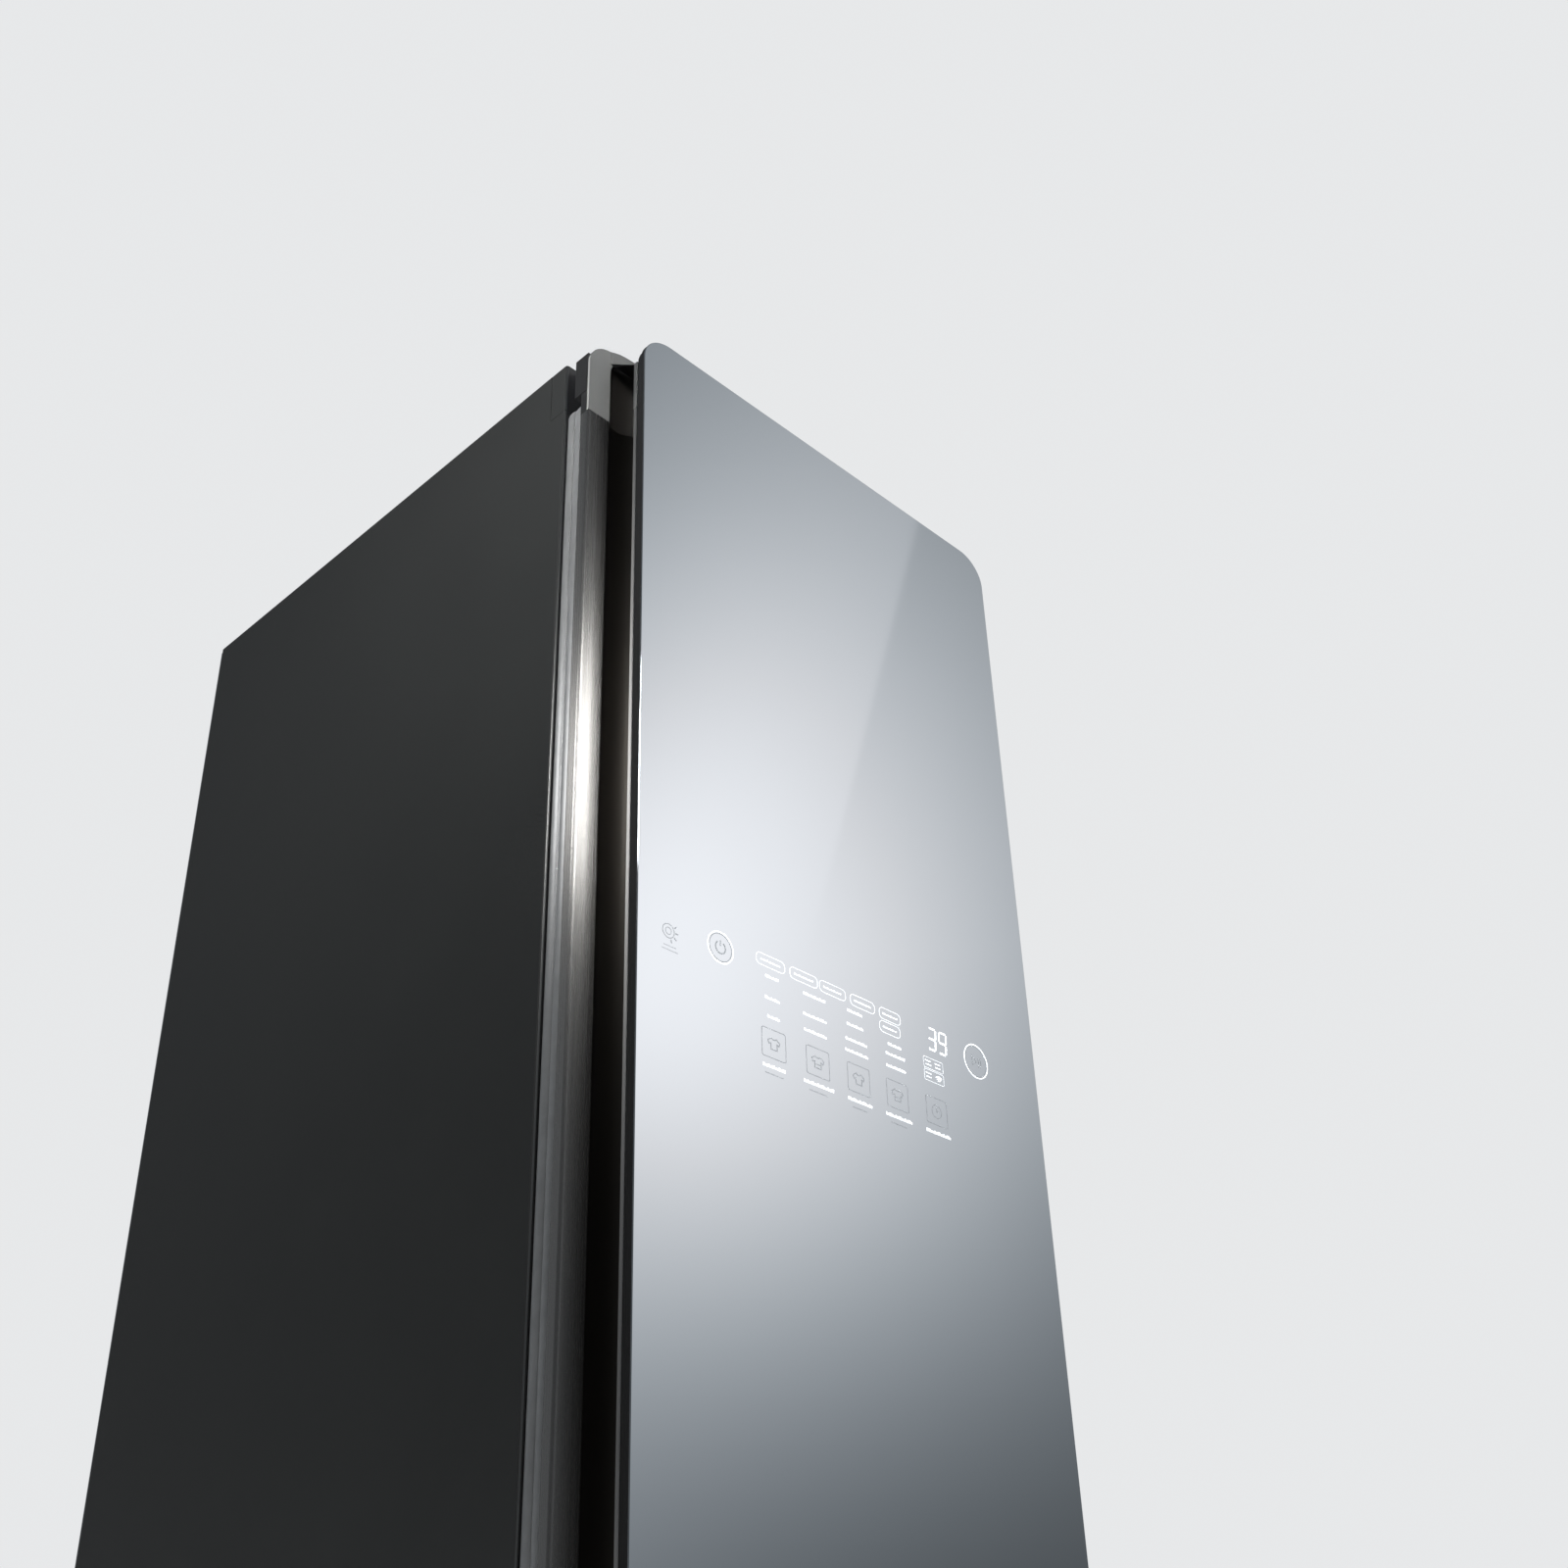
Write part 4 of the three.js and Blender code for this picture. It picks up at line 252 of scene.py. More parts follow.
def build_studio():
    world = bpy.data.worlds.new("studio")
    bpy.context.scene.world = world
    world.use_nodes = True
    tree = Tree(world.node_tree)
    direction = tree.node("ShaderNodeTexCoord").outputs["Generated"]
    upward = tree.node("ShaderNodeSeparateXYZ", {"Vector": direction}).outputs["Z"]

    def along(axis):
        values = {0: direction, 1: tuple(axis)}
        return tree.node("ShaderNodeVectorMath", values, operation="DOT_PRODUCT").outputs["Value"]

    def fade(value, above, below):
        """Minus half the square of a distance, with one size above nought and one below it."""
        high = tree.math("DIVIDE", tree.most(value, 0.0), above)
        low = tree.math("DIVIDE", tree.math("MINIMUM", value, 0.0), below)
        both = tree.plus(high, low)
        return tree.times(tree.times(both, both), -0.5)

    aside = along(GLOW_ASIDE)
    away = tree.plus(fade(along(GLOW_ALONG), *GLOW_SIZES[:2]), fade(aside, *GLOW_SIZES[2:]))
    facing = tree.math("GREATER_THAN", along(GLOW_TOWARDS), 0.0)
    glow = tree.times(tree.times(tree.math("EXPONENT", away), facing), GLOW_POWER)
    wide = tree.times(tree.math("EXPONENT", fade(aside, *WIDE_SIZES)), WIDE_POWER)
    room = tree.spread(upward, DIM_LEVEL, HIGH_LEVEL)
    light = tree.plus(tree.plus(glow, wide), room)
    beyond = tree.math("GREATER_THAN", along(EDGE_NORMAL), 0.0)
    lost = tree.times(beyond, tree.spread(upward, 0.0, EDGE_DIM, *EDGE_FADE))
    level = tree.times(light, tree.math("SUBTRACT", 1.0, lost))
    tint = tree.ramp(level, [(0.15, DIM_TINT), (0.75, BRIGHT_TINT)])
    soft = tree.node("ShaderNodeBackground", {"Color": tint, "Strength": level})
    plain = tree.node("ShaderNodeBackground", {"Color": (*PALE, 1.0), "Strength": 1.0})
    path = tree.node("ShaderNodeLightPath").outputs
    low_down = tree.spread(upward, 0.0, HORIZON_SHARE, *HORIZON_FADE, interpolation_type="SMOOTHSTEP")
    mirrored = tree.times(path["Is Glossy Ray"], low_down)
    straight = tree.most(path["Is Camera Ray"], path["Is Transmission Ray"])
    seen = tree.most(straight, mirrored)
    mix = tree.node("ShaderNodeMixShader", {0: seen, 1: soft.outputs[0], 2: plain.outputs[0]})
    tree.join(mix.outputs[0], tree.node("ShaderNodeOutputWorld").inputs["Surface"])


build_studio()
print("world nodes", len(bpy.context.scene.world.node_tree.nodes))

# %% [markdown]
# ## Lamps
# Three broad lamps light the paint and plastic at a plain level, and don't show in the mirror.
# Three smaller ones stand round the grip, at the height where brushed metal answers with its
# bright band. One narrow beam picks out the cap at the top of the door.

# %% Lamps
GRIP = Vector((-0.205, -0.255, 1.431))
BAND_DISTANCE = 3.0
BROAD_LAMPS = (
    ("front_light", (-0.5, -3.2, 2.9), (0.0, -0.25, 1.35), (1.6, 1.2), 58.0),
    ("top_light", (0.4, 0.6, 4.4), (0.0, 0.0, 1.0), (2.6, 2.6), 92.0),
    ("back_light", (1.9, 3.2, 2.4), (0.0, 0.0, 0.95), (1.6, 1.6), 60.0),
)
BAND_LAMPS = (
    ("grip_light", 15, 34.0, (0.9, 0.45), 19.0),
    ("side_light", -110, 33.4, (0.9, 0.35), 8.0),
    ("groove_light", -50, 33.4, (0.6, 0.35), 5.0),
)
CAP_BEAM = ("edge_light", (-1.9, -1.5, 2.6), (-0.22, -0.36, 1.9), (0.3, 0.3), 2.2)
CAP_BEAM_SPREAD = 26


def soft_light(name, place, towards, size, power, glossy=True):
    data = bpy.data.lights.new(name, "AREA")
    data.shape = "RECTANGLE"
    data.size, data.size_y = size
    data.energy = power
    lamp = new_object(name, data)
    lamp.location = place
    lamp.rotation_euler = (Vector(towards) - Vector(place)).to_track_quat("-Z", "Y").to_euler()
    lamp.visible_glossy = glossy
    lamp.visible_camera = False
    return lamp


def light_around(name, azimuth, elevation, size, power):
    """A soft lamp round the grip; azimuth 0 is in front of the door, 90 on its right."""
    a, e = radians(azimuth), radians(elevation)
    place = GRIP + BAND_DISTANCE * Vector((sin(a) * cos(e), -cos(a) * cos(e), sin(e)))
    return soft_light(name, place, GRIP, size, power)


for lamp in BROAD_LAMPS:
    soft_light(*lamp, glossy=False)
for lamp in BAND_LAMPS:
    light_around(*lamp)
beam = soft_light(*CAP_BEAM, glossy=False)
beam.data.spread = radians(CAP_BEAM_SPREAD)
print("lamps", len(bpy.data.lights))

# %% [markdown]
# ## Floor
# A plain pale floor takes the cabinet's soft shadow. Further off it turns into the colour of
# the backdrop, so that no edge or horizon shows behind the cabinet.

# %% Floor
FLOOR_HALF = 14.0
FLOOR_FADE = (1.2, 4.5)


def as_mesh(name, form):
    """The form as a mesh; the form is used up."""
    mesh = bpy.data.meshes.new(name)
    form.to_mesh(mesh)
    form.free()
    return mesh


def build_floor():
    form = bmesh.new()
    bmesh.ops.create_grid(form, x_segments=8, y_segments=8, size=FLOOR_HALF)
    floor = new_object("floor", as_mesh("floor", form))
    floor.location.z = FLOOR_Z
    ground = Surface("pale_floor", PALE, 0.85)
    ground.toned(ground.noise(0.4, 4.0), 0.97, 1.0)
    distance = ground.node("ShaderNodeVectorMath", {0: ground.place()}, operation="LENGTH").outputs["Value"]
    far = ground.spread(distance, 0.0, 1.0, *FLOOR_FADE, interpolation_type="SMOOTHSTEP")
    path = ground.node("ShaderNodeLightPath").outputs
    mirrored = ground.most(path["Is Camera Ray"], path["Is Glossy Ray"])
    seen = ground.most(mirrored, path["Is Transmission Ray"])
    pale = ground.node("ShaderNodeEmission", {"Color": (*PALE, 1.0), "Strength": 1.0})
    sockets = {0: ground.times(far, seen), 1: ground.shader.outputs["BSDF"], 2: pale.outputs[0]}
    mix = ground.node("ShaderNodeMixShader", sockets)
    ground.join(mix.outputs[0], ground.out.inputs["Surface"])
    floor.data.materials.append(ground.material)


build_floor()
print("floor", 2 * FLOOR_HALF, "m across")

# %% [markdown]
# ## Painted sheet
# The cabinet's sheets are sprayed dark grey. The paint has a fine leathery ripple, which breaks
# the highlights, and a faint change of sheen from place to place.

# %% Painted sheet
def painted_sheet(name, color, rough):
    paint = Surface(name, color, rough, 0.35)
    cloud = paint.noise(0.09, 4.0)
    paint.toned(cloud, 0.94, 1.05)
    paint.uneven(cloud, 0.04, 0.05)
    paint.relief(paint.noise(0.0011, 2.0), 0.12, 0.0002)
    return paint.material


keep(
    sheet=painted_sheet("dark_painted_sheet", (0.03, 0.031, 0.03), 0.42),
    enamel=painted_sheet("black_enamel", (0.012, 0.012, 0.013), 0.3),
)

# %% [markdown]
# ## Painted shade in the finger groove
# The walls of the groove get painted shade: darker colours that stand in for the shade of the
# hollow, so that the grip reads deep. The painted shade is laid over the metal and the caps by
# position, in metres: behind the lip and beside the strip.

# %% Groove shade
GROOVE_WALLS = ((-0.2007, -0.2562), (-0.1955, -0.2790))
GROOVE_END = -0.165
GROOVE_MIDDLE, GROOVE_HALF = 0.945, 0.8915
# Painted shade: the dark values that the groove's metal walls and the caps' pocket take.
GROOVE_SHADE_METAL = {"Base Color": (0.11, 0.10, 0.088, 1.0), "Roughness": 0.34, "Metallic": 1.0}
GROOVE_SHADE_PLASTIC = {"Base Color": (0.009, 0.008, 0.007, 1.0), "Roughness": 0.5, "Metallic": 0.0}


def groove_shade_share(made):
    """Where the groove's painted shade goes: one on the walls of the finger groove and nothing elsewhere.
    """
    x, y, z = made.node("ShaderNodeSeparateXYZ", {"Vector": made.place()}).outputs
    walls = []
    for side, depth in GROOVE_WALLS:
        beside, behind = made.math("GREATER_THAN", x, side), made.math("GREATER_THAN", y, depth)
        walls.append(made.times(beside, behind))
    near_side = made.math("LESS_THAN", x, GROOVE_END)
    from_middle = made.math("ABSOLUTE", made.math("SUBTRACT", z, GROOVE_MIDDLE))
    level = made.math("LESS_THAN", from_middle, GROOVE_HALF)
    return made.times(made.most(*walls), made.times(near_side, level))


def paint_groove_shade(made, dark):
    """Paints shade on the walls of the groove: dark values laid over the shader's own ones."""
    share = groove_shade_share(made)
    for name, value in dark.items():
        socket = made.shader.inputs[name]
        mix = made.node("ShaderNodeMix", data_type="RGBA" if name == "Base Color" else "FLOAT")
        factor, plain, shaded = [i for i in mix.inputs if i.enabled]
        made.join(share, factor)
        if socket.links:
            made.join(socket.links[0].from_socket, plain)
        else:
            plain.default_value = socket.default_value
        shaded.default_value = value
        made.join([o for o in mix.outputs if o.enabled][0], socket)


# Prints the heights, in metres, between which the groove's painted shade is laid.
print("stained from", GROOVE_MIDDLE - GROOVE_HALF, "to", GROOVE_MIDDLE + GROOVE_HALF, "m")

# %% [markdown]
# ## Brushed metal
# Long scratches run up the door and catch the light across them, so each highlight becomes a
# level band that every side of the profile shows at the same height. Anisotropic gloss with a
# tangent round the upright axis gives that band without modelling a single scratch.

# %% Brushed metal
SCRATCH_STRETCH = 0.0015


def upright_gloss(made, amount):
    """Spreads each highlight sideways round the object, so that it stands as a level band."""
    made.shader.inputs["Anisotropic"].default_value = amount
    tangent = made.node("ShaderNodeTangent", direction_type="RADIAL", axis="Z")
    made.wire("Tangent", tangent.outputs["Tangent"])


def brushed_metal(name, color, rough, grain_axis=2, shadow=None):
    metal = Surface(name, color, rough, 1.0)
    stretch = [1.0, 1.0, 1.0]
    stretch[grain_axis] = SCRATCH_STRETCH
    scratches = metal.noise(0.0005, 3.0, 0.7, stretch)
    broad = metal.noise(0.004, 2.0, 0.5, stretch)
    mixed = metal.plus(metal.times(scratches, 0.7), metal.times(broad, 0.3))
    metal.toned(mixed, 0.88, 1.08)
    metal.uneven(mixed, 0.05, 0.05)
    metal.relief(scratches, 0.12, 0.00004)
    upright_gloss(metal, 0.95)
    # The groove's walls take painted shade over the brushed metal.
    if shadow:
        paint_groove_shade(metal, shadow)
    return metal.material


keep(
    # Door metal: brushed, with painted shade on the groove's walls.
    door_metal=brushed_metal("brushed_door_metal", (0.50, 0.485, 0.465), 0.27, shadow=GROOVE_SHADE_METAL),
    bar_metal=brushed_metal("brushed_bar_metal", (0.6, 0.6, 0.59), 0.26, grain_axis=0),
    lip=brushed_metal("lip_metal", (0.80, 0.79, 0.77), 0.46),
    # Fold: a lighter metal for the side sheets' front fold, a painted highlight.
    fold=brushed_metal("fold_highlight_metal", (0.45, 0.45, 0.44), 0.3),
    bright=brushed_metal("bright_steel", (0.62, 0.62, 0.61), 0.24),
)

# %% [markdown]
# ## Moulded plastic
# Most of the inside and the door's caps are moulded. The mould is etched, which leaves a fine
# grain, and the tone changes faintly over a hand's width. Some parts have a thin glossy skin.

# %% Moulded plastic
def moulded(name, color, rough, coat=0.0, shadow=None):
    plastic = Surface(name, color, rough, Coat_Weight=coat)
    cloud = plastic.noise(0.06, 3.0)
    plastic.toned(cloud, 0.96, 1.03)
    plastic.uneven(cloud, 0.03, 0.05)
    plastic.relief(plastic.noise(0.0006, 2.0, 0.6), 0.18, 0.00012)
    # The groove's walls and the caps' pocket take painted shade over the plastic.
    if shadow:
        paint_groove_shade(plastic, shadow)
    return plastic.material


keep(
    film=moulded("black_film", (0.003, 0.003, 0.0035), 0.45),
    dark=moulded("dark_plastic", (0.010, 0.010, 0.0105), 0.5),
    # Cap: moulded, with painted shade in the groove's pocket.
    cap=moulded("cap_plastic", (0.082, 0.083, 0.081), 0.38, coat=0.1, shadow=GROOVE_SHADE_PLASTIC),
    white=moulded("white_plastic", (0.66, 0.68, 0.70), 0.36, coat=0.15),
    grey=moulded("grey_plastic", (0.34, 0.355, 0.37), 0.48),
    pale=moulded("pale_plastic", (0.52, 0.535, 0.55), 0.45),
    # Rim: a lighter grey for the caps' narrow left rim, a painted highlight.
    rim=moulded("rim_highlight_grey", (0.24, 0.24, 0.235), 0.34),
)

# %% [markdown]
# ## Mirror glass, zinc and rubber
# Mirror glass is nearly smooth metal behind a faint tint, so it is made as metal. Bare zinc
# sheet shows its pale flowers, which are the cells of a Voronoi pattern. The seal's rubber has a
# satin skin whose gloss stands as a level band like the metal's, while a hose is plain and dull.

# %% Glass, zinc and rubber
def mirror_glass(name, color, rough):
    glass = Surface(name, color, rough, 1.0)
    streak = glass.noise(0.25, 2.0)
    glass.toned(streak, 0.985, 1.0)
    glass.uneven(streak, 0.015, 0.015)
    return glass.material


def zinc_sheet(name, color, rough):
    zinc = Surface(name, color, rough, 1.0)
    flowers = zinc.node("ShaderNodeTexVoronoi", {"Vector": zinc.place(), "Scale": 110.0})
    zinc.toned(flowers.outputs["Color"], 0.92, 1.06, 0.2, 0.8)
    zinc.uneven(flowers.outputs["Distance"], 0.05, 0.14)
    zinc.relief(zinc.noise(0.0012, 3.0), 0.08, 0.0001)
    return zinc.material


def soft_rubber(name, color, rough, metal=0.0):
    rubber = Surface(name, color, rough, metal, Sheen_Weight=0.08)
    rubber.toned(rubber.noise(0.012, 5.0, 0.6), 0.93, 1.05, 0.35, 0.65)
    rubber.relief(rubber.noise(0.0004, 2.0), 0.15, 0.0001)
    if metal:
        upright_gloss(rubber, 0.9)
    return rubber.material


keep(
    mirror=mirror_glass("mirror_glass", (0.84, 0.885, 0.915), 0.035),
    zinc=zinc_sheet("zinc_sheet", (0.47, 0.48, 0.49), 0.36),
    seal=soft_rubber("seal_rubber", (0.47, 0.475, 0.475), 0.32, 0.72),
    hose=soft_rubber("hose_rubber", (0.03, 0.03, 0.03), 0.62),
)

# %% [markdown]
# ## Finishes for what is inside
# Clear smoked plastic for the tanks, fins for the heat exchangers, a woven screen for the lint
# filter and a printed board behind the touch marks. Waves and bricks draw the regular patterns.

# %% Inner finishes
FIN_WAVES = 1.0 / 0.0028 / 6.283 * 6.0
WEAVE_WAVES = 420.0


def waves(made, scale, axis, **values):
    wires = {"Vector": made.place(), "Scale": scale, **values}
    return made.node("ShaderNodeTexWave", wires, bands_direction=axis).outputs["Fac"]


def clear_moulding(name, color, rough):
    clear = Surface(name, color, rough, Transmission_Weight=0.82, IOR=1.49)
    clear.uneven(clear.noise(0.05, 3.0), 0.04, 0.06)
    return clear.material


def finned(name, color):
    fins = Surface(name, color, 0.4, 1.0)
    pattern = waves(fins, FIN_WAVES, "X", Distortion=0.2)
    fins.toned(pattern, 0.4, 1.0, 0.1, 0.6)
    fins.relief(pattern, 0.5, 0.0006)
    return fins.material


def woven_mesh(name, color):
    cloth = Surface(name, color, 0.85, Sheen_Weight=0.2)
    weave = cloth.most(waves(cloth, WEAVE_WAVES, "X"), waves(cloth, WEAVE_WAVES, "Z"))
    cloth.toned(weave, 0.4, 1.0, 0.2, 0.7)
    cloth.relief(weave, 0.6, 0.0003)
    return cloth.material


def printed_board(name):
    board = Surface(name, (0.02, 0.1, 0.05), 0.35)
    tracks = board.node("ShaderNodeTexBrick", {
        "Vector": board.place(), "Scale": 160.0,
        "Color1": (0.015, 0.09, 0.045, 1.0), "Color2": (0.02, 0.12, 0.06, 1.0),
        "Mortar": (0.35, 0.28, 0.09, 1.0), "Mortar Size": 0.008,
    })
    board.wire("Base Color", tracks.outputs["Color"])
    return board.material


keep(
    fins=finned("aluminium_fins", (0.7, 0.71, 0.72)),
    copper_fins=finned("coated_fins", (0.45, 0.36, 0.26)),
    tank=clear_moulding("smoked_tank", (0.42, 0.5, 0.55), 0.12),
    lens=clear_moulding("lamp_lens", (0.95, 0.96, 0.97), 0.3),
    weave=woven_mesh("filter_weave", (0.4, 0.42, 0.44)),
    board=printed_board("printed_board"),
)

# %% [markdown]
# ## Solids that keep their shape
# Most inner pieces are right as they come from the frame, so they only get a finish. The others
# get one too, although a finer piece will stand in for them in the steps below.

# %% Dress the solids
FOOT_CORNERS = ("front_left", "front_right", "rear_left", "rear_right")
NODE_FINISH = {
    "sheet": ["base_frame", "left_side_panel", "right_side_panel", "top_cover", "top_front_trim"],
    "zinc": ["back_panel", "drive_frame", "blower_motor", "hanger_motor"],
    "bright": ["upper_hinge_bracket", "lower_hinge_bracket", "crank_disc", "trouser_rail"],
    "door_metal": ["handle_profile", "right_edge_profile"],
    "bar_metal": ["hanger_bar"],
    "mirror": ["door_glass"],
    "film": ["glass_backing"],
    "dark": [
        "front_frame", "door_core", "inner_top_trim", "inner_bottom_trim", "blower_housing", "blower_wheel",
        "lint_filter", "drain_tank_lid", "supply_pump", "drain_pump", "cable_gland",
        *("levelling_foot_" + corner for corner in FOOT_CORNERS),
    ],
    "cap": ["door_top_cap", "door_bottom_cap"],
    "white": ["chamber_liner", "door_liner", "steam_nozzle"],
    "grey": ["tank_bay", "exchanger_tray", "rear_duct", "press_board", "hanger_carriage"],
    "pale": ["air_grille", "shelf", "scent_cartridge", "supply_tank_lid", "power_board_box", "press_plate"],
    "seal": ["door_seal"],
    "hose": ["steam_pipe"],
    "fins": ["evaporator", "steam_generator"],
    "copper_fins": ["condenser"],
    "tank": ["supply_tank", "drain_tank"],
    "lens": ["chamber_lamp"],
    "enamel": ["compressor"],
    "weave": ["lint_screen"],
    "board": ["display_board"],
}

for finish, nodes in NODE_FINISH.items():
    for node in nodes:
        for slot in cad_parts[node].material_slots:
            slot.material = FINISH[finish]
print("solids dressed", sum(len(nodes) for nodes in NODE_FINISH.values()))

# %% [markdown]
# ## Outlines
# Nearly all the pieces are cut, pressed, drawn or moulded to an outline. Here an outline is a list
# of points in millimetres, put together from arcs: a circle, or a rectangle with round corners.

# %% Outline helpers
def arc(center, radius, start, end, steps):
    if radius <= 0:
        return [tuple(center)]
    angles = [start + (end - start) * i / steps for i in range(steps + 1)]
    return [(center[0] + radius * cos(a), center[1] + radius * sin(a)) for a in angles]


def rounded_rect(u, v, radii, steps=10):
    """Corners go round from the low left, turning left."""
    if not isinstance(radii, (list, tuple)):
        radii = [radii] * 4
    (u0, u1), (v0, v1), (a, b, c, d) = u, v, radii
    return (
        arc((u0 + a, v0 + a), a, pi, 1.5 * pi, steps)
        + arc((u1 - b, v0 + b), b, -0.5 * pi, 0, steps)
        + arc((u1 - c, v1 - c), c, 0, 0.5 * pi, steps)
        + arc((u0 + d, v1 - d), d, 0.5 * pi, pi, steps)
    )


def circle(center, radius, steps=32):
    return arc(center, radius, 0, 2 * pi * (1 - 1 / steps), steps - 1)


print("a circle has", len(circle((0, 0), 1)), "points, a rectangle", len(rounded_rect((0, 9), (0, 9), 1)))

# %% [markdown]
# ## Clean meshes
# No real edge is perfectly sharp, so a piece can have its edges rounded a little. Every mesh is
# then merged, its faces are turned outwards and its shading is evened, so that flat faces look
# flat and round ones look round.

# %% Mesh helpers
SAME_PLACE = 1e-6
EDGE_ROUND, EDGE_STEPS = 0.4, 3


def baked(made):
    """The object's mesh with its modifiers worked in."""
    graph = bpy.context.evaluated_depsgraph_get()
    return bpy.data.meshes.new_from_object(made.evaluated_get(graph))


def settle(made, rounded=False, angle=35):
    """Rounds the edges if asked, points the faces out and evens the shading of flat faces."""
    if rounded:
        bevel = made.modifiers.new("rounded", "BEVEL")
        bevel.width, bevel.segments, bevel.limit_method = EDGE_ROUND * MM, EDGE_STEPS, "ANGLE"
    mesh = baked(made)
    form = bmesh.new()
    form.from_mesh(mesh)
    bmesh.ops.remove_doubles(form, verts=form.verts, dist=SAME_PLACE)
    bmesh.ops.recalc_face_normals(form, faces=form.faces)
    form.to_mesh(mesh)
    form.free()
    made.modifiers.clear()
    made.data = mesh
    for polygon in mesh.polygons:
        polygon.use_smooth = True
    mesh.set_sharp_from_angle(angle=radians(angle))
    even = made.modifiers.new("even", "WEIGHTED_NORMAL")
    even.keep_sharp = True
    made.data = baked(made)
    made.modifiers.clear()
    return made


print("edges are rounded by", EDGE_ROUND, "mm in", EDGE_STEPS, "steps")

# %% [markdown]
# ## Plates
# A flat part, such as a pane, is an outline filled and given its thickness with softened edges.
# Blender's curves do all three at once, and the curve is then turned into a plain mesh.

# %% Plates
AXES = {
    "x": lambda u, v, w: (w, u, v),
    "y": lambda u, v, w: (u, w, v),
    "z": lambda u, v, w: (u, v, w),
}


def plate(name, axis, outline, low, high, soft=0.0, rounds=3):
    """A flat part: an outline filled, given its thickness and softened at its edges."""
    curve = bpy.data.curves.new(name, "CURVE")
    curve.dimensions = "2D"
    curve.fill_mode = "BOTH"
    curve.extrude = (high - low) / 2 * MM - soft * MM
    curve.bevel_depth = soft * MM
    curve.bevel_resolution = rounds
    curve.offset = -soft * MM
    spline = curve.splines.new("POLY")
    spline.points.add(len(outline) - 1)
    for point, (u, v) in zip(spline.points, outline):
        point.co = (u * MM, v * MM, 0.0, 1.0)
    spline.use_cyclic_u = True
    helper = new_object(name + "_outline", curve)
    mesh = baked(helper)
    bpy.data.objects.remove(helper)
    middle = (low + high) / 2 * MM
    for vertex in mesh.vertices:
        u, v, w = vertex.co
        vertex.co = AXES[axis](u, v, w + middle)
    return settle(new_object(name, mesh))


print("axes of an outline's thickness:", ", ".join(AXES))

# %% [markdown]
# ## Bars, rings and boxes
# A long part is a cross-section drawn along one axis. A closed ring is a cross-section carried
# round a rounded rectangle. Both are a skin over outlines that have the same count of points, so
# one helper makes them both.

# %% Bars, rings and boxes
TIGHTEST = 2.0


def carried(name, axis, rows, closed):
    """A skin over outlines of one count, each with its place along the axis."""
    form = bmesh.new()
    loops = [
        [form.verts.new([c * MM for c in AXES[axis](u, v, w)]) for u, v in outline]
        for outline, w in rows
    ]
    for loop, after in zip(loops, loops[1:] + (loops[:1] if closed else [])):
        for i in range(len(loop)):
            j = (i + 1) % len(loop)
            form.faces.new((loop[i], loop[j], after[j], after[i]))
    if not closed:
        form.faces.new(loops[0])
        form.faces.new(loops[-1])
    return settle(new_object(name, as_mesh(name, form)))


def bar(name, axis, outline, low, high):
    """A long part: one closed cross-section drawn along an axis."""
    return carried(name, axis, [(outline, low), (outline, high)], closed=False)


def ring(name, axis, u, v, corner, section):
    """A closed ring: each section point is (inset from the outer edge, place along the axis)."""
    rows = []
    for inset, w in section:
        span_u, span_v = (u[0] + inset, u[1] - inset), (v[0] + inset, v[1] - inset)
        rows.append((rounded_rect(span_u, span_v, max(corner - inset, TIGHTEST), 8), w))
    return carried(name, axis, rows, closed=True)


def block(name, x, y, z):
    """A plain box."""
    return bar(name, "z", [(x[0], y[0]), (x[1], y[0]), (x[1], y[1]), (x[0], y[1])], *z)


print("a ring's corner is never tighter than", TIGHTEST, "mm")

# %% [markdown]
# ## Join, cut and dress
# Whole parts are joined to or cut from one another, as a maker would weld or bore them. A
# finished piece is then told its finish, the body it rides on, and which solid of the frame it
# stands in for. Some faces of a piece can be touched up with a second finish.

# %% Join, cut and dress
def combine(base, operation, *tools):
    """Joins or cuts whole parts; the tools are used up."""
    for tool in tools:
        modifier = base.modifiers.new("combine", "BOOLEAN")
        modifier.operation = operation
        modifier.object = tool
        modifier.solver = "EXACT"
    mesh = baked(base)
    base.modifiers.clear()
    base.data = mesh
    for tool in tools:
        bpy.data.objects.remove(tool)
    return base


def dress(made, finish, body, slot, *nodes):
    made.data.materials.clear()
    made.data.materials.append(FINISH[finish])
    for polygon in made.data.polygons:
        polygon.material_index = 0
    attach(made, body)
    if nodes:
        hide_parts(*nodes)
    print(made.name, len(made.data.polygons), "faces")
    return made


def touch_up(made, finishes, choose):
    """Further finishes for some faces: choose tells which one, 0 for none, by place and facing."""
    for finish in finishes:
        made.data.materials.append(FINISH[finish])
    for polygon in made.data.polygons:
        polygon.material_index = choose(polygon.center / MM, polygon.normal)
    return made


# %% [markdown]
# ## Door glass
# One pane of 5 mm float glass with a mirror coat, its corners rounded and its rim ground. The
# front is polished up to a fine bevel that catches the light as a thin line. The rim behind the
# bevel is painted black, so that the edge of the glass reads as a dark band from the side.

# %% Door glass
GLASS_THICK = 5.0
GLASS_CORNER = 28.0
PRINT_ROOM = 0.12
RIM_START = FRONT + 1.3


def pane_outline(inset):
    span_u = (GLASS_LEFT + inset, RIGHT - inset)
    span_v = (DOOR_LOW + inset, TOP - inset)
    return rounded_rect(span_u, span_v, GLASS_CORNER - inset, 20)


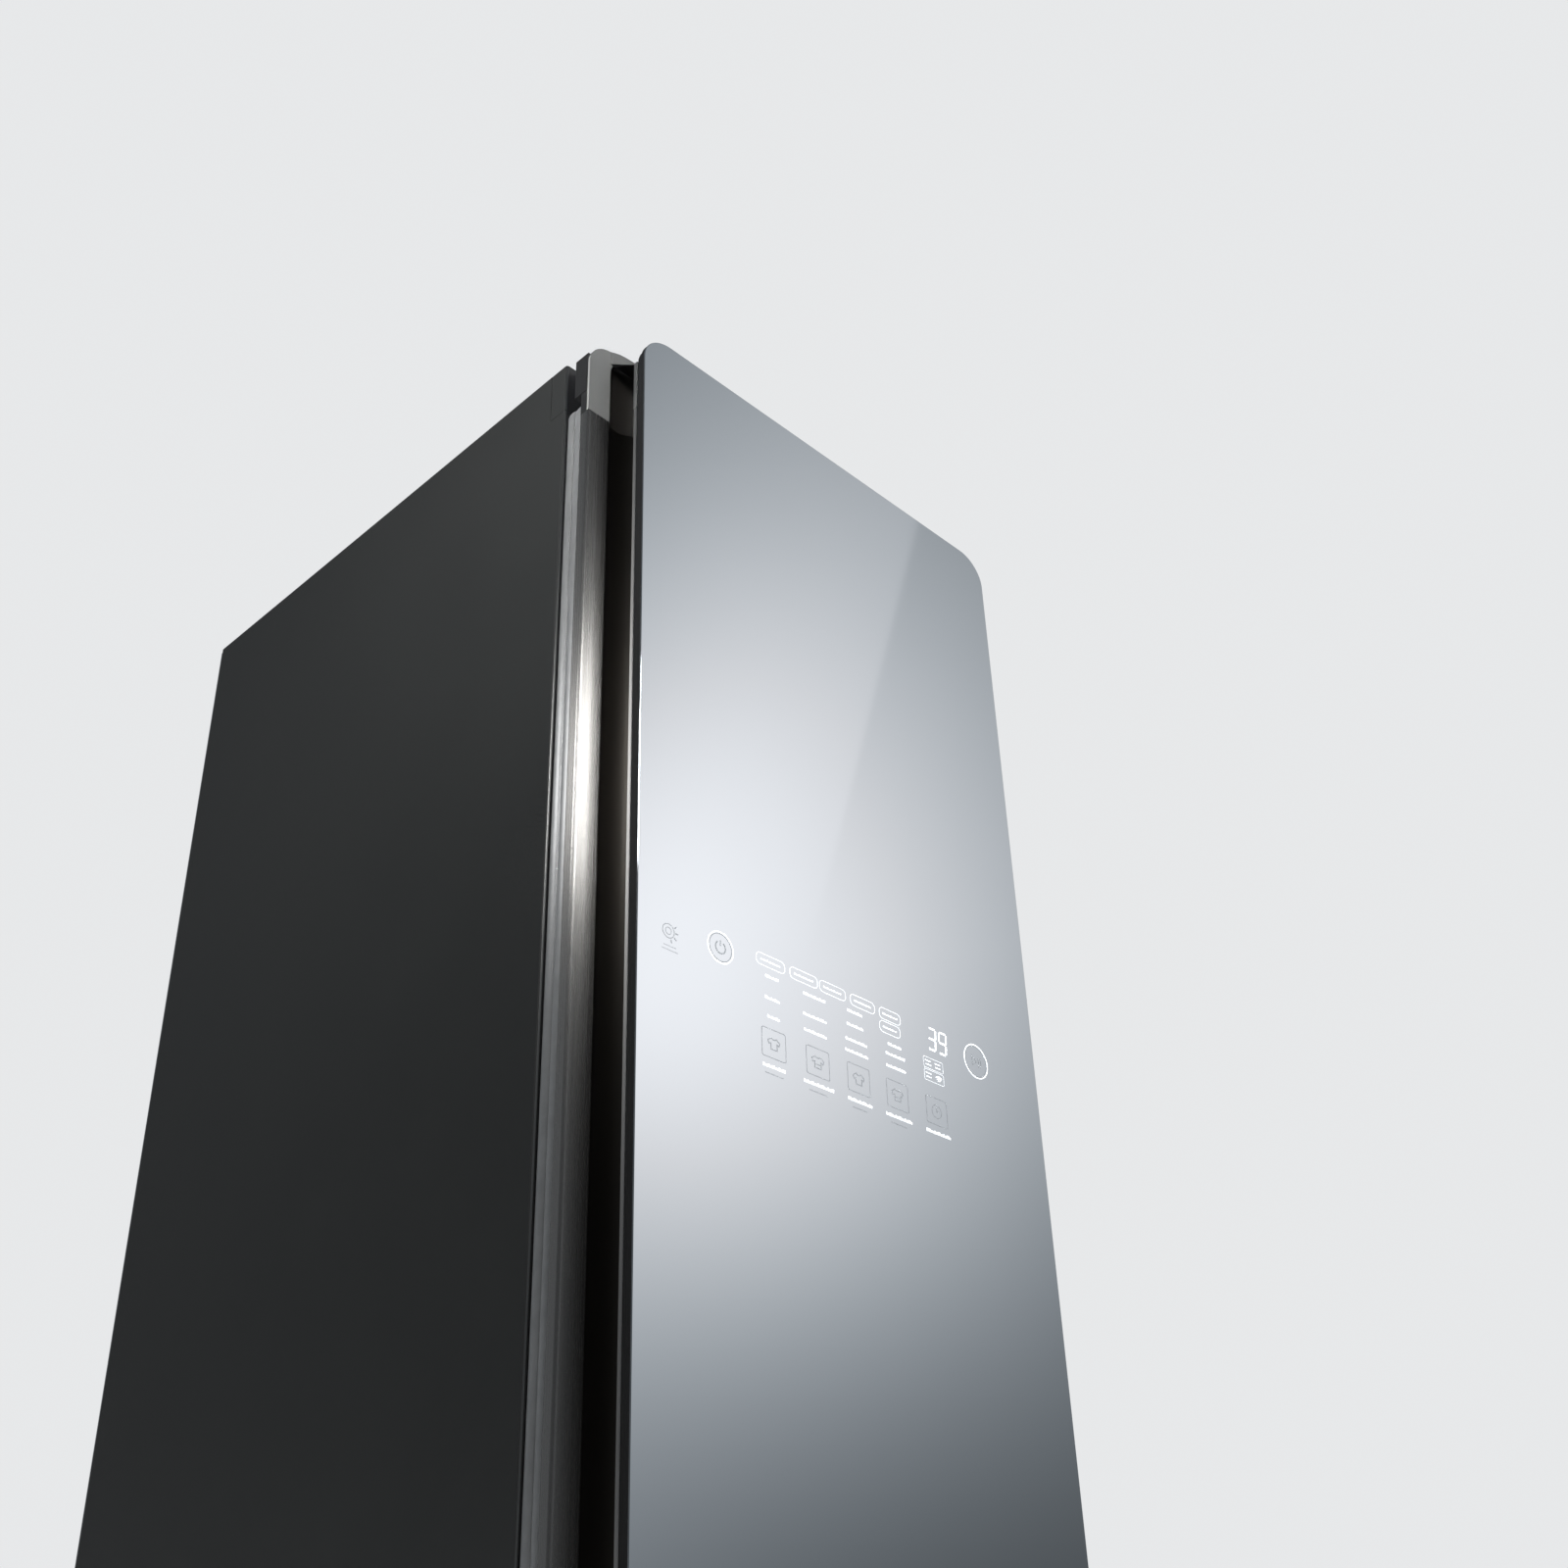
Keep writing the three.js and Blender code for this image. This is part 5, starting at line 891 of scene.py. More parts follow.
pane = plate("glass_pane", "y", pane_outline(0.0), FRONT + PRINT_ROOM, RIM_START, soft=0.5, rounds=4)
dress(pane, "mirror", "door", "mirror_glass", "door_glass")
rim = plate("glass_rim", "y", pane_outline(0.1), RIM_START - 0.3, FRONT + GLASS_THICK, soft=0.4)
dress(rim, "film", "door", "black_film")

# %% [markdown]
# ## Paths of a profile
# A profile's cross-section is a path with straight runs, soft corners and, for the fingers, one
# deep curve. The sheet's wall is the same path moved sideways, so its thickness stays even.

# %% Path helpers
def bezier(a, b, c, d, steps):
    points = []
    for i in range(steps + 1):
        t = i / steps
        weights = ((1 - t) ** 3, 3 * t * (1 - t) ** 2, 3 * t * t * (1 - t), t ** 3)
        points.append(tuple(sum(w * p[k] for w, p in zip(weights, (a, b, c, d))) for k in (0, 1)))
    return points


def offset(path, distance):
    """The path moved to its right by a distance, with mitred corners."""
    points = [Vector(point) for point in path]
    moved = []
    for i, point in enumerate(points):
        before = points[max(i - 1, 0)]
        after = points[min(i + 1, len(points) - 1)]
        arriving = (point - before if i else after - point).normalized()
        leaving = (after - point if i < len(points) - 1 else point - before).normalized()
        side = Vector((arriving.y, -arriving.x)) + Vector((leaving.y, -leaving.x))
        side.normalize()
        reach = distance / side.dot(Vector((arriving.y, -arriving.x)))
        moved.append(tuple(point + side * reach))
    return moved


def soften(path, radii, steps=5):
    """Rounds the inner corners of a path, each by its own radius."""
    points = [Vector(point) for point in path]
    made = [tuple(points[0])]
    for before, corner, after, size in zip(points, points[1:], points[2:], radii):
        reach = min(size, (corner - before).length / 2.01, (after - corner).length / 2.01)
        start = corner + (before - corner).normalized() * reach
        end = corner + (after - corner).normalized() * reach
        for i in range(steps + 1):
            t = i / steps
            made.append(tuple(start * (1 - t) ** 2 + corner * 2 * t * (1 - t) + end * t * t))
    return made + [tuple(points[-1])]


def sheet_section(path, faces, wall):
    """A sheet's closed section: its outer faces softened, its inner faces left mitred."""
    return faces + offset(path, wall)[::-1]


print("a softened right angle has", len(soften([(0, 0), (9, 0), (9, 9)], [2])), "points")

# %% [markdown]
# ## Handle profile
# One brushed extrusion makes the whole grip: a thin lip that carries the edge of the glass, a
# deep round groove for the fingers behind it, a flat strip beside the groove, and the side face
# that turns back to the door liner. It would be pushed through a die and cut to length. A plain
# fold of the same metal closes the door's right edge.

# %% Handle profile
JOINT = 0.3
WALL = 1.5
SHELL_FRONT, SHELL_BACK = FRONT + 9.3, DOOR_BACK - 2.8
SHELL_RIGHT = LEFT + 53.7
LIP_BACK, LIP_END = SHELL_FRONT + 3.4, GLASS_LEFT + 3.5
STRIP_Y, STRIP_END = FRONT + 36.0, LEFT + 21.5
STEP_FOOT = (STRIP_END + 1.5, STRIP_Y + 3.5)
TURNED_BACK = 10.0
CAP_LENGTH = 78.0
EXTRUDED = (DOOR_LOW + CAP_LENGTH + JOINT, TOP - CAP_LENGTH - JOINT)
FACES_LEFT = -0.25


def groove_curve():
    deep = GLASS_LEFT + 30.5
    return bezier((LIP_END, LIP_BACK), (deep, LIP_BACK + 1.3), (deep, STRIP_Y + 10.0), STEP_FOOT, 28)


def on_lip(spot):
    """True on the thin edge of the lip, which stays satin where the rest is brushed."""
    return GLASS_LEFT - 1 < spot.x < GLASS_LEFT + 0.6 and spot.y < LIP_BACK + 0.4


lip_path = [
    (SHELL_RIGHT, SHELL_FRONT), (GLASS_LEFT, SHELL_FRONT), (GLASS_LEFT, LIP_BACK), (LIP_END, LIP_BACK),
]
side_path = [
    STEP_FOOT, (STRIP_END, STRIP_Y), (LEFT, STRIP_Y), (LEFT, DOOR_BACK), (LEFT + TURNED_BACK, DOOR_BACK),
]
grip_path = lip_path[:3] + groove_curve() + side_path[1:]
grip_faces = soften(lip_path, [1.1, 1.1]) + groove_curve()[1:-1] + soften(side_path, [1.2, 2.6, 1.2])
profile = bar("handle_extrusion", "z", sheet_section(grip_path, grip_faces, WALL), *EXTRUDED)
dress(profile, "door_metal", "door", "door_metal", "handle_profile")
touch_up(profile, ["lip"], lambda spot, facing: int(on_lip(spot) and facing.x < FACES_LEFT))

inner = RIGHT - TURNED_BACK
edge_path = [(inner, SHELL_FRONT), (RIGHT, SHELL_FRONT), (RIGHT, DOOR_BACK), (inner, DOOR_BACK)]
edge_section = sheet_section(edge_path, soften(edge_path, [2.6, 2.6]), -WALL)
edge = bar("right_edge_extrusion", "z", edge_section, *EXTRUDED)
dress(edge, "door_metal", "door", "door_metal", "right_edge_profile")

# %% [markdown]
# ## Hollow and roof of a cap
# The cap is moulded round the end of the groove. A pocket with one round corner carries the
# groove on into it, and a small curved roof closes it, from the flat strip forward to the lip.
# Each is where two plain shapes cross: what it is from the side and what it is from above.

# %% Cap hollow and roof
CAP_PLATE = 13.0
CAP_BACK = FRONT + 38.3
POCKET_CORNER = 8.0
LIP_START = 28.0
ROOF_STEPS = 10


def inwards(end, distance):
    """A height counted inwards from the top (end 1) or the foot (end -1) of the door."""
    return TOP - distance if end > 0 else DOOR_LOW + distance


def heights(end, near, far):
    return sorted((inwards(end, near), inwards(end, far)))


def cap_pocket(end):
    groove = groove_curve() + [(STRIP_END, STRIP_Y), (STRIP_END, LIP_BACK)]
    tool = bar("pocket", "z", groove, *heights(end, CAP_PLATE + 0.5, CAP_LENGTH + 3))
    span = heights(end, CAP_PLATE + 0.5, CAP_LENGTH + 6)
    radii = (0, 0, 0, POCKET_CORNER) if end > 0 else (POCKET_CORNER, 0, 0, 0)
    window = plate("window", "y", rounded_rect((STRIP_END, SHELL_RIGHT), span, radii), FRONT, DOOR_BACK)
    return combine(tool, "INTERSECT", window)


def cap_roof(end):
    """A wedge: its side view is cut to the shape that it has from above."""
    near, back, inner = LIP_BACK - 1.0, STRIP_Y + 1.0, SHELL_RIGHT - WALL
    top_line = bezier(
        (near, LIP_START + 0.3), (near + 8.0, LIP_START - 10.0),
        (STRIP_Y - 7.0, 5.0), (STRIP_Y, 1.0), ROOF_STEPS,
    )
    low_line = bezier(
        (back, CAP_PLATE + 0.7), (STRIP_Y - 6.0, CAP_PLATE + 4.0),
        (near + 8.0, LIP_START - 4.0), (near, LIP_START + 2.0), ROOF_STEPS,
    )
    side_view = [(y, inwards(end, drop)) for y, drop in top_line + [(back, 1.0)] + low_line]
    roof = bar("roof", "x", side_view, STRIP_END - 9.0, SHELL_RIGHT)
    plan = bezier(
        (STRIP_END - 1.5, STRIP_Y + 0.05), (STRIP_END + 1.5, STRIP_Y),
        (GLASS_LEFT - 1.0, STRIP_Y - 8.0), (GLASS_LEFT, LIP_BACK), 16,
    )
    plan += [(GLASS_LEFT, SHELL_FRONT), (inner, SHELL_FRONT), (inner, back), (STRIP_END - 1.5, back)]
    return combine(roof, "INTERSECT", bar("plan", "z", plan, *heights(end, -2.0, CAP_LENGTH)))


print("the groove ends", round(CAP_PLATE + 0.5, 1), "mm below the top of the door")

# %% [markdown]
# ## Body of a cap
# Beside the glass the cap carries on the flat strip and the finger groove. Behind the glass it
# is a thick plate with a block for the hinge pin. Each part is a bar along the door, and the
# bars are joined into one moulding.

# %% Cap body
HINGE_BLOCK = 42.0


def cap_body(end, name):
    inner = STRIP_END - WALL
    strip = [
        (LEFT, STRIP_Y), (LEFT, CAP_BACK), (inner, CAP_BACK), (inner, SHELL_BACK),
        (SHELL_RIGHT, SHELL_BACK), (SHELL_RIGHT, STRIP_Y),
    ]
    lip = [(GLASS_LEFT, SHELL_FRONT), (GLASS_LEFT, LIP_BACK)]
    lip += [point for point in groove_curve() if point[1] < STRIP_Y + 1.0]
    lip += [(SHELL_RIGHT, STRIP_Y + 1.5), (SHELL_RIGHT, SHELL_FRONT)]
    top = [
        (LEFT, STRIP_Y), (SHELL_RIGHT - WALL, STRIP_Y), (SHELL_RIGHT - WALL, SHELL_FRONT),
        (RIGHT, SHELL_FRONT), (RIGHT, SHELL_BACK), (LEFT, SHELL_BACK),
    ]
    span_x, span_y = (RIGHT - HINGE_BLOCK, RIGHT), (SHELL_FRONT, CAP_BACK)
    body = bar(name, "z", strip, *heights(end, 0.9, CAP_LENGTH))
    joined = [
        bar("lip", "z", lip, *heights(end, LIP_START, CAP_LENGTH)),
        bar("top", "z", top, *heights(end, 0.85, CAP_PLATE + 0.9)),
        block("hinge", span_x, span_y, heights(end, CAP_PLATE - 1.0, CAP_LENGTH)),
    ]
    combine(body, "DIFFERENCE", cap_pocket(end))
    return combine(body, "UNION", *joined, cap_roof(end))


print("hinge block", HINGE_BLOCK, "x", round(CAP_BACK - SHELL_FRONT, 1), "mm")

# %% [markdown]
# ## Door caps
# A moulded cap closes each end of the door. Its body is bored for the hinge pin, the upper one
# is notched for the arm of its bracket, and both are cut to the door's outline, whose outer
# corner is rounded.

# %% Door caps
HINGE_X, HINGE_Y = RIGHT - 8.0, FRONT + 28.0
BORE, BORE_DEPTH = 4.35, 31.0
ARM_ROOM = 15.3
END_INSET = 0.8
CAP_CORNER, HINGE_CORNER = 24.0, 30.0


def pin_bore(radius, z):
    return bar("bore", "z", circle((HINGE_X, HINGE_Y), radius), *z)


def cap_finish(spot, facing):
    """Satin on the lip's edge and a lighter grey on the narrow rim, a painted highlight; the rest stays cap
    grey.
    """
    if facing.x >= FACES_LEFT:
        return 0
    on_rim = spot.x < LEFT + 0.6 and STRIP_Y + 0.05 < spot.y < CAP_BACK - 0.05
    return 1 if on_lip(spot) else 2 if on_rim else 0


def make_cap(end, name, node):
    body = cap_body(end, name)
    combine(body, "DIFFERENCE", pin_bore(BORE, heights(end, -3, BORE_DEPTH)))
    if end > 0:
        span_x, span_y = (RIGHT - HINGE_BLOCK, RIGHT + 2), (HINGE_Y - ARM_ROOM, BACK)
        combine(body, "DIFFERENCE", block("notch", span_x, span_y, (CABINET_TOP - 0.8, TOP + 3)))
    corners = (CAP_CORNER, HINGE_CORNER, HINGE_CORNER, CAP_CORNER)
    shape = rounded_rect((LEFT, RIGHT), (DOOR_LOW + END_INSET, TOP - END_INSET), corners, 14)
    combine(body, "INTERSECT", plate("shape", "y", shape, FRONT, BACK))
    settle(body, rounded=True, angle=18)
    dress(body, "cap", "door", "cap_plastic", node)
    return touch_up(body, ["lip", "rim"], cap_finish)


make_cap(1, "top_cap", "door_top_cap")
make_cap(-1, "bottom_cap", "door_bottom_cap")

# %% [markdown]
# ## Inner trims
# Dark moulded pieces close the back of the door beyond the ends of the seal. On the side they
# show as two blocks, one over the other, with a fine joint between them. A recessed neck behind
# the joint holds the two together.

# %% Inner trims
TRIM_START, TRIM_DROP = 14.3, 55.0
TRIM_SIDE = RIGHT - 0.2
TRIM_BORE = 4.8
LEG_WIDTH = 9.8
NECK_INSET, NECK_REACH = 0.9, 5.0


def make_trim(end, name, node):
    near, far = CAP_BACK + JOINT, DOOR_BACK + 8.0
    body = block(name, (-TRIM_SIDE, TRIM_SIDE), (near, far), heights(end, TRIM_START, TRIM_DROP - JOINT))
    for side in (-1, 1):
        x = sorted((side * TRIM_SIDE, side * (TRIM_SIDE - LEG_WIDTH)))
        leg = block("leg", x, (near, DOOR_BACK), heights(end, TRIM_DROP + 0.4, CAP_LENGTH))
        neck_x, neck_y = (x[0] + NECK_INSET, x[1] - NECK_INSET), (near + NECK_INSET, DOOR_BACK - NECK_INSET)
        neck = block("neck", neck_x, neck_y, heights(end, TRIM_DROP - NECK_REACH, TRIM_DROP + NECK_REACH))
        combine(body, "UNION", leg, neck)
    room_x, room_y = (STRIP_END - WALL - JOINT, SHELL_RIGHT + JOINT), (near - 2, SHELL_BACK + JOINT)
    room = block("room", room_x, room_y, heights(end, 0, CAP_LENGTH))
    combine(body, "DIFFERENCE", room, pin_bore(TRIM_BORE, (DOOR_LOW - 2, TOP + 2)))
    settle(body, rounded=True)
    return dress(body, "dark", "door", "dark_plastic", node)


make_trim(1, "top_inner_trim", "inner_top_trim")
make_trim(-1, "bottom_inner_trim", "inner_bottom_trim")

# %% [markdown]
# ## Door seal
# A soft grey gasket with two round bulbs runs all round the back of the door. A real one is
# extruded, cut and welded at its corners. Here its section is carried round in one ring, which
# keeps the bulbs even through the corners.

# %% Door seal
SEAL_SIDE = 1.5
SEAL_LOW, SEAL_TOP = DOOR_LOW + 57.0, TOP - 57.5
SEAL_WIDTH = 13.0
SEAL_BULGE = 2.4
BULB_STEPS = 8


def seal_section():
    """Two bulbs, one behind the other, on the outer side and the same again on the inner side."""
    start, end = DOOR_BACK + JOINT, CABINET_FRONT - 0.5
    middle = (start + end) / 2
    outside, inside = [], []
    for y0, y1 in ((start, middle), (middle, end)):
        for i in range(BULB_STEPS + 1):
            angle = -pi / 2 + pi * i / BULB_STEPS
            y = (y0 + y1) / 2 + (y1 - y0) / 2 * sin(angle)
            inset = SEAL_BULGE * (1 - cos(angle))
            outside.append((inset, y))
            inside.append((SEAL_WIDTH - inset, y))
    return outside + inside[::-1]


seal_span = (LEFT + SEAL_SIDE, RIGHT - SEAL_SIDE)
seal = ring("seal_ring", "y", seal_span, (SEAL_LOW, SEAL_TOP), SEAL_WIDTH, seal_section())
dress(seal, "seal", "door", "seal_rubber", "door_seal")

# %% [markdown]
# ## Side panels and top trim
# Each side is one sheet folded over at the front and the back. The front fold has a small round
# and catches the light as a thin bright line, which a lighter metal on the fold makes brighter: a
# painted highlight. A separate trim closes the top front corner between the sheets, and leaves a
# fine joint on the side.

# %% Side panels and top trim
SHEET = 1.2
PANEL_FOOT = 22.0
FRONT_FOLD, BACK_FOLD, FOLD_ROUND = 6.0, 14.0, 2.4
TRIM_DEPTH = 18.5
TRIM_FOOT = CABINET_TOP - 49.5


def fold_finish(spot, facing):
    """Black on the narrow faces that look at the door, and a lighter metal on the fold beside them, a
    painted highlight.
    """
    if spot.y >= CABINET_FRONT + FOLD_ROUND:
        return 0
    if facing.y < -0.93:
        return 1
    return 2 if facing.y < -0.55 and abs(facing.z) < 0.1 else 0


def dress_sheet(made, node):
    dress(made, "sheet", "cabinet", "graphite_sheet", node)
    # The lighter metal on the fold is a painted highlight.
    return touch_up(made, ["dark", "fold"], fold_finish)


def make_side(side, name, node):
    edge_x, back = side * RIGHT, BACK - 1.5
    path = [
        (edge_x - side * FRONT_FOLD, CABINET_FRONT), (edge_x, CABINET_FRONT),
        (edge_x, back), (edge_x - side * BACK_FOLD, back),
    ]
    faces = soften(path, [FOLD_ROUND, FOLD_ROUND])
    panel = bar(name, "z", sheet_section(path, faces, -side * SHEET), PANEL_FOOT, CABINET_TOP)
    span_y = (CABINET_FRONT - 2, CABINET_FRONT + TRIM_DEPTH + 0.4)
    corner = block("corner", (LEFT - 2, RIGHT + 2), span_y, (TRIM_FOOT - 0.4, CABINET_TOP + 2))
    combine(panel, "DIFFERENCE", corner)
    return dress_sheet(settle(panel), node)


def make_corner_trim(name, node, wall=2.5):
    span_y = (CABINET_FRONT, CABINET_FRONT + TRIM_DEPTH)
    outline = rounded_rect((LEFT, RIGHT), span_y, (FOLD_ROUND, FOLD_ROUND, 0, 0), 6)
    trim = bar(name, "z", outline, TRIM_FOOT, CABINET_TOP)
    room_y, room_z = (CABINET_FRONT + wall, CABINET_FRONT + 21), (TRIM_FOOT + wall, CABINET_TOP - wall)
    combine(trim, "DIFFERENCE", block("room", (LEFT + wall, RIGHT - wall), room_y, room_z))
    return dress_sheet(settle(trim, rounded=True), node)


make_side(-1, "left_side_sheet", "left_side_panel")
make_side(1, "right_side_sheet", "right_side_panel")
make_corner_trim("top_corner_trim", "top_front_trim")

# %% [markdown]
# ## A row of bars in Geometry Nodes
# The shelf's bars are all alike, so Geometry Nodes draw one bar and set it at each point of a
# line. Their number, pitch and sizes are inputs of the tree, so the same tree would serve a
# shelf of another width.

# %% Tree for a row of bars
BAR_SIDES = 16
BAR_INPUTS = {
    "Geometry": "Geometry", "Count": "Int", "Start": "Vector", "Pitch": "Vector",
    "Length": "Float", "Radius": "Float", "Shape": "Vector", "Material": "Material",
}


def bar_row_tree():
    """Equal bars that run along y, set side by side along x; the tree and its inputs' names."""
    group = bpy.data.node_groups.new("bar_row", "GeometryNodeTree")
    names = {}
    for name, kind in BAR_INPUTS.items():
        socket = group.interface.new_socket(name, in_out="INPUT", socket_type="NodeSocket" + kind)
        names[name] = socket.identifier
    group.interface.new_socket("Geometry", in_out="OUTPUT", socket_type="NodeSocketGeometry")
    tree = Tree(group)
    given = tree.node("NodeGroupInput").outputs

    def grow(kind, values):
        return tree.node("GeometryNode" + kind, values).outputs[0]

    line_wires = {"Count": given["Count"], "Start Location": given["Start"], "Offset": given["Pitch"]}
    line = grow("MeshLine", line_wires)
    bar_wires = {"Vertices": BAR_SIDES, "Radius": given["Radius"], "Depth": given["Length"]}
    upright = grow("MeshCylinder", bar_wires)
    laid = grow("Transform", {"Geometry": upright, "Rotation": (pi / 2, 0.0, 0.0), "Scale": given["Shape"]})
    row = grow("InstanceOnPoints", {"Points": line, "Instance": laid})
    whole = grow("RealizeInstances", {"Geometry": row})
    painted = grow("SetMaterial", {"Geometry": whole, "Material": given["Material"]})
    tree.join(painted, tree.node("NodeGroupOutput").inputs["Geometry"])
    return group, names


def grown(name, group, names, values):
    """What the tree draws with these inputs, as a plain object."""
    made = new_object(name, bpy.data.meshes.new(name))
    modifier = made.modifiers.new("grow", "NODES")
    modifier.node_group = group
    for key, value in values.items():
        modifier[names[key]] = value
    made.data = baked(made)
    made.modifiers.clear()
    return settle(made)


row_group, row_names = bar_row_tree()
print("inputs of the tree:", ", ".join(row_names))

# %% [markdown]
# ## Shelf
# The shelf lifts off its ledges: a moulded rim with softened edges, and nine round bars across
# it. The ends of the bars are buried in the rim, so that no gap shows between the two.

# %% Shelf
SHELF_SIDE, SHELF_FRONT, SHELF_BACK = 188.0, -139.2, 180.8
SHELF_LOW, SHELF_HIGH = 600.3, 607.3
SHELF_CORNER, SHELF_RIM, RIM_ROUND = 10.0, 10.0, 1.6
SHELF_BARS, BAR_WIDTH, BAR_HEIGHT = 9, 6.0, 5.0
BAR_BURIED, BAR_LIFT = 2.0, 0.2


def rim_section():
    """An upright rectangle with its four corners cut."""
    out, inner = (0.0, SHELF_RIM), (RIM_ROUND, SHELF_RIM - RIM_ROUND)
    low, high = SHELF_LOW, SHELF_HIGH
    above, below = low + RIM_ROUND, high - RIM_ROUND
    return [
        (out[0], above), (inner[0], low), (inner[1], low), (out[1], above),
        (out[1], below), (inner[1], high), (inner[0], high), (out[0], below),
    ]


shelf_u, shelf_v = (-SHELF_SIDE, SHELF_SIDE), (SHELF_FRONT, SHELF_BACK)
shelf_rim = ring("shelf_rim", "z", shelf_u, shelf_v, SHELF_CORNER, rim_section())
dress(shelf_rim, "pale", "shelf_body", "grey_plastic", "shelf")

pitch = 2 * (SHELF_SIDE - SHELF_RIM) / (SHELF_BARS + 1)
bar_middle = SHELF_LOW + BAR_HEIGHT / 2 + BAR_LIFT
first = (-SHELF_SIDE + SHELF_RIM + pitch, (SHELF_FRONT + SHELF_BACK) / 2, bar_middle)
bars = grown("shelf_bars", row_group, row_names, {
    "Count": SHELF_BARS,
    "Start": [place * MM for place in first],
    "Pitch": [pitch * MM, 0.0, 0.0],
    "Length": (SHELF_BACK - SHELF_FRONT - 2 * (SHELF_RIM - BAR_BURIED)) * MM,
    "Radius": BAR_WIDTH / 2 * MM,
    "Shape": [1.0, BAR_HEIGHT / BAR_WIDTH, 1.0],
    "Material": FINISH["pale"],
})
dress(bars, "pale", "shelf_body", "grey_plastic")

# %% [markdown]
# ## Ink on the glass
# Touch marks show through the mirror coat. On a real door they are printed behind the glass and
# lit from the board. Here they are thin faces just in front of the pane, drawn in strokes, with
# one glowing ink for the lit marks and a faint one for the others.

# %% Ink and strokes
PANEL_LINE = 0.28


def ink(name, color, glow):
    return Surface(name, color, 0.5, Emission_Color=(*color, 1.0), Emission_Strength=glow).material


keep(
    white_print=ink("white_print", (0.97, 0.985, 1.0), 1.0),
    grey_print=ink("grey_print", (0.33, 0.35, 0.37), 0.25),
)


class Print:
    """Flat strokes on the glass face, drawn in mm from the pane's upper left corner."""

    def __init__(self, name, y):
        self.name, self.y, self.form = name, y, bmesh.new()

    def point(self, u, v):
        return self.form.verts.new(((GLASS_LEFT + u) * MM, self.y * MM, (TOP + v) * MM))

    def stroke(self, path, width, closed=False):
        points = [Vector(p) for p in path]
        count = len(points)
        sides = []
        for i, point in enumerate(points):
            before = points[(i - 1) % count] if closed or i else point
            after = points[(i + 1) % count] if closed or i < count - 1 else point
            arriving = (point - before).normalized() if before != point else (after - point).normalized()
            leaving = (after - point).normalized() if after != point else arriving
            side = Vector((arriving.y + leaving.y, -arriving.x - leaving.x)).normalized()
            reach = width / 2 / max(0.4, side.dot(Vector((arriving.y, -arriving.x))))
            sides.append((self.point(*(point + side * reach)), self.point(*(point - side * reach))))
        for i in range(count if closed else count - 1):
            a, b = sides[i], sides[(i + 1) % count]
            self.form.faces.new((a[0], b[0], b[1], a[1]))

    def ring(self, center, radius, width):
        self.stroke(circle(center, radius, 48), width, closed=True)

    def box(self, u, v, corner, steps, width):
        self.stroke(rounded_rect(u, v, corner, steps), width, closed=True)

    def pill(self, u, v):
        self.box(u, v, min(u[1] - u[0], v[1] - v[0]) / 2 * 0.8, 6, PANEL_LINE)

    def dash(self, center, length, height):
        u, v = center
        self.stroke([(u - length / 2, v), (u + length / 2, v)], height)

    def finish(self, finish, slot):
        bmesh.ops.recalc_face_normals(self.form, faces=self.form.faces)
        for face in self.form.faces:
            if face.normal.y > 0:
                face.normal_flip()
        return dress(new_object(self.name, as_mesh(self.name, self.form)), finish, "door", slot)


white = Print("white_marks", FRONT + 0.03)
grey = Print("grey_marks", FRONT + 0.06)
print("inks ready on", white.name, "and", grey.name)

# %% [markdown]
# ## Fine print
# Fine print on the panel is drawn as rows of small upright strokes. Their widths and heights
# change from one to the next, so a row reads as print at a distance and stays light to draw.

# %% Rows of strokes
DASH_WIDTHS = [1.0, 0.8, 1.1, 0.55, 1.15, 0.9, 0.6]
DASH_RISES = [1.0, 0.7, 0.7, 1.0, 0.7, 0.95]
DASH_GAP = 0.42


def dashes(target, center, width, height, seed):
    """A row of small upright strokes of uneven size; the seed picks the first of them."""
    start = at = center[0] - width / 2
    i = seed
    while at < center[0] + width / 2 - 0.5:
        size = DASH_WIDTHS[i % len(DASH_WIDTHS)] * height / 1.7
        rise = (1.0 if at == start else DASH_RISES[i % len(DASH_RISES)]) * height
        target.dash((at + size / 2, center[1] - (height - rise) / 2), size, rise)
        at += size + DASH_GAP
        i += 1


print("strokes have", len(DASH_WIDTHS), "widths and", len(DASH_RISES), "heights, in turn")

# %% [markdown]
# ## Power, start and scent marks
# Two round touch marks stand at the ends of the panel, each a bright ring with a faint one
# inside it and a plain sign in the middle. A small scent sign stands at the far left. All
# are drawn from arcs and short paths, so that a mark can be moved as one.

# %% Power, start and scent marks
def power_mark(u, v):
    white.ring((u, v), 11.75, 0.9)
    grey.ring((u, v), 10.4, 0.6)
    grey.stroke(arc((u, v), 4.6, radians(125), radians(415), 20), 1.0)
    grey.stroke([(u, v + 1.2), (u, v + 5.6)], 1.0)


def start_mark(u, v):
    white.ring((u, v), 13.7, 0.8)
    grey.ring((u, v), 12.4, 0.4)
    grey.stroke([(u - 4.6, v - 4.2), (u - 4.6, v + 4.2), (u + 0.8, v)], 0.6, closed=True)
    for shift in (3.0, 5.6):
        grey.stroke([(u + shift, v - 4.2), (u + shift, v + 4.2)], 0.7)


def scent_mark(u, v):
    flower = Vector((u - 1.5, v + 2.5))
    grey.ring(flower, 5.2, 0.55)
    grey.ring(flower, 2.6, 0.5)
    for angle in (-70, -35, 0, 35):
        direction = Vector((cos(radians(angle)), sin(radians(angle))))
        base = flower + direction * 6.2
        grey.stroke([base, base + direction * 2.6], 0.9)
    dashes(grey, (u, v - 8.5), 11.0, 0.8, 0)
    dashes(grey, (u, v - 11.5), 15.0, 0.8, 3)


power_mark(75.0, -532.6)
start_mark(344.3, -532.6)
scent_mark(29.0, -540.0)
print("strokes so far", len(white.form.faces) + len(grey.form.faces))

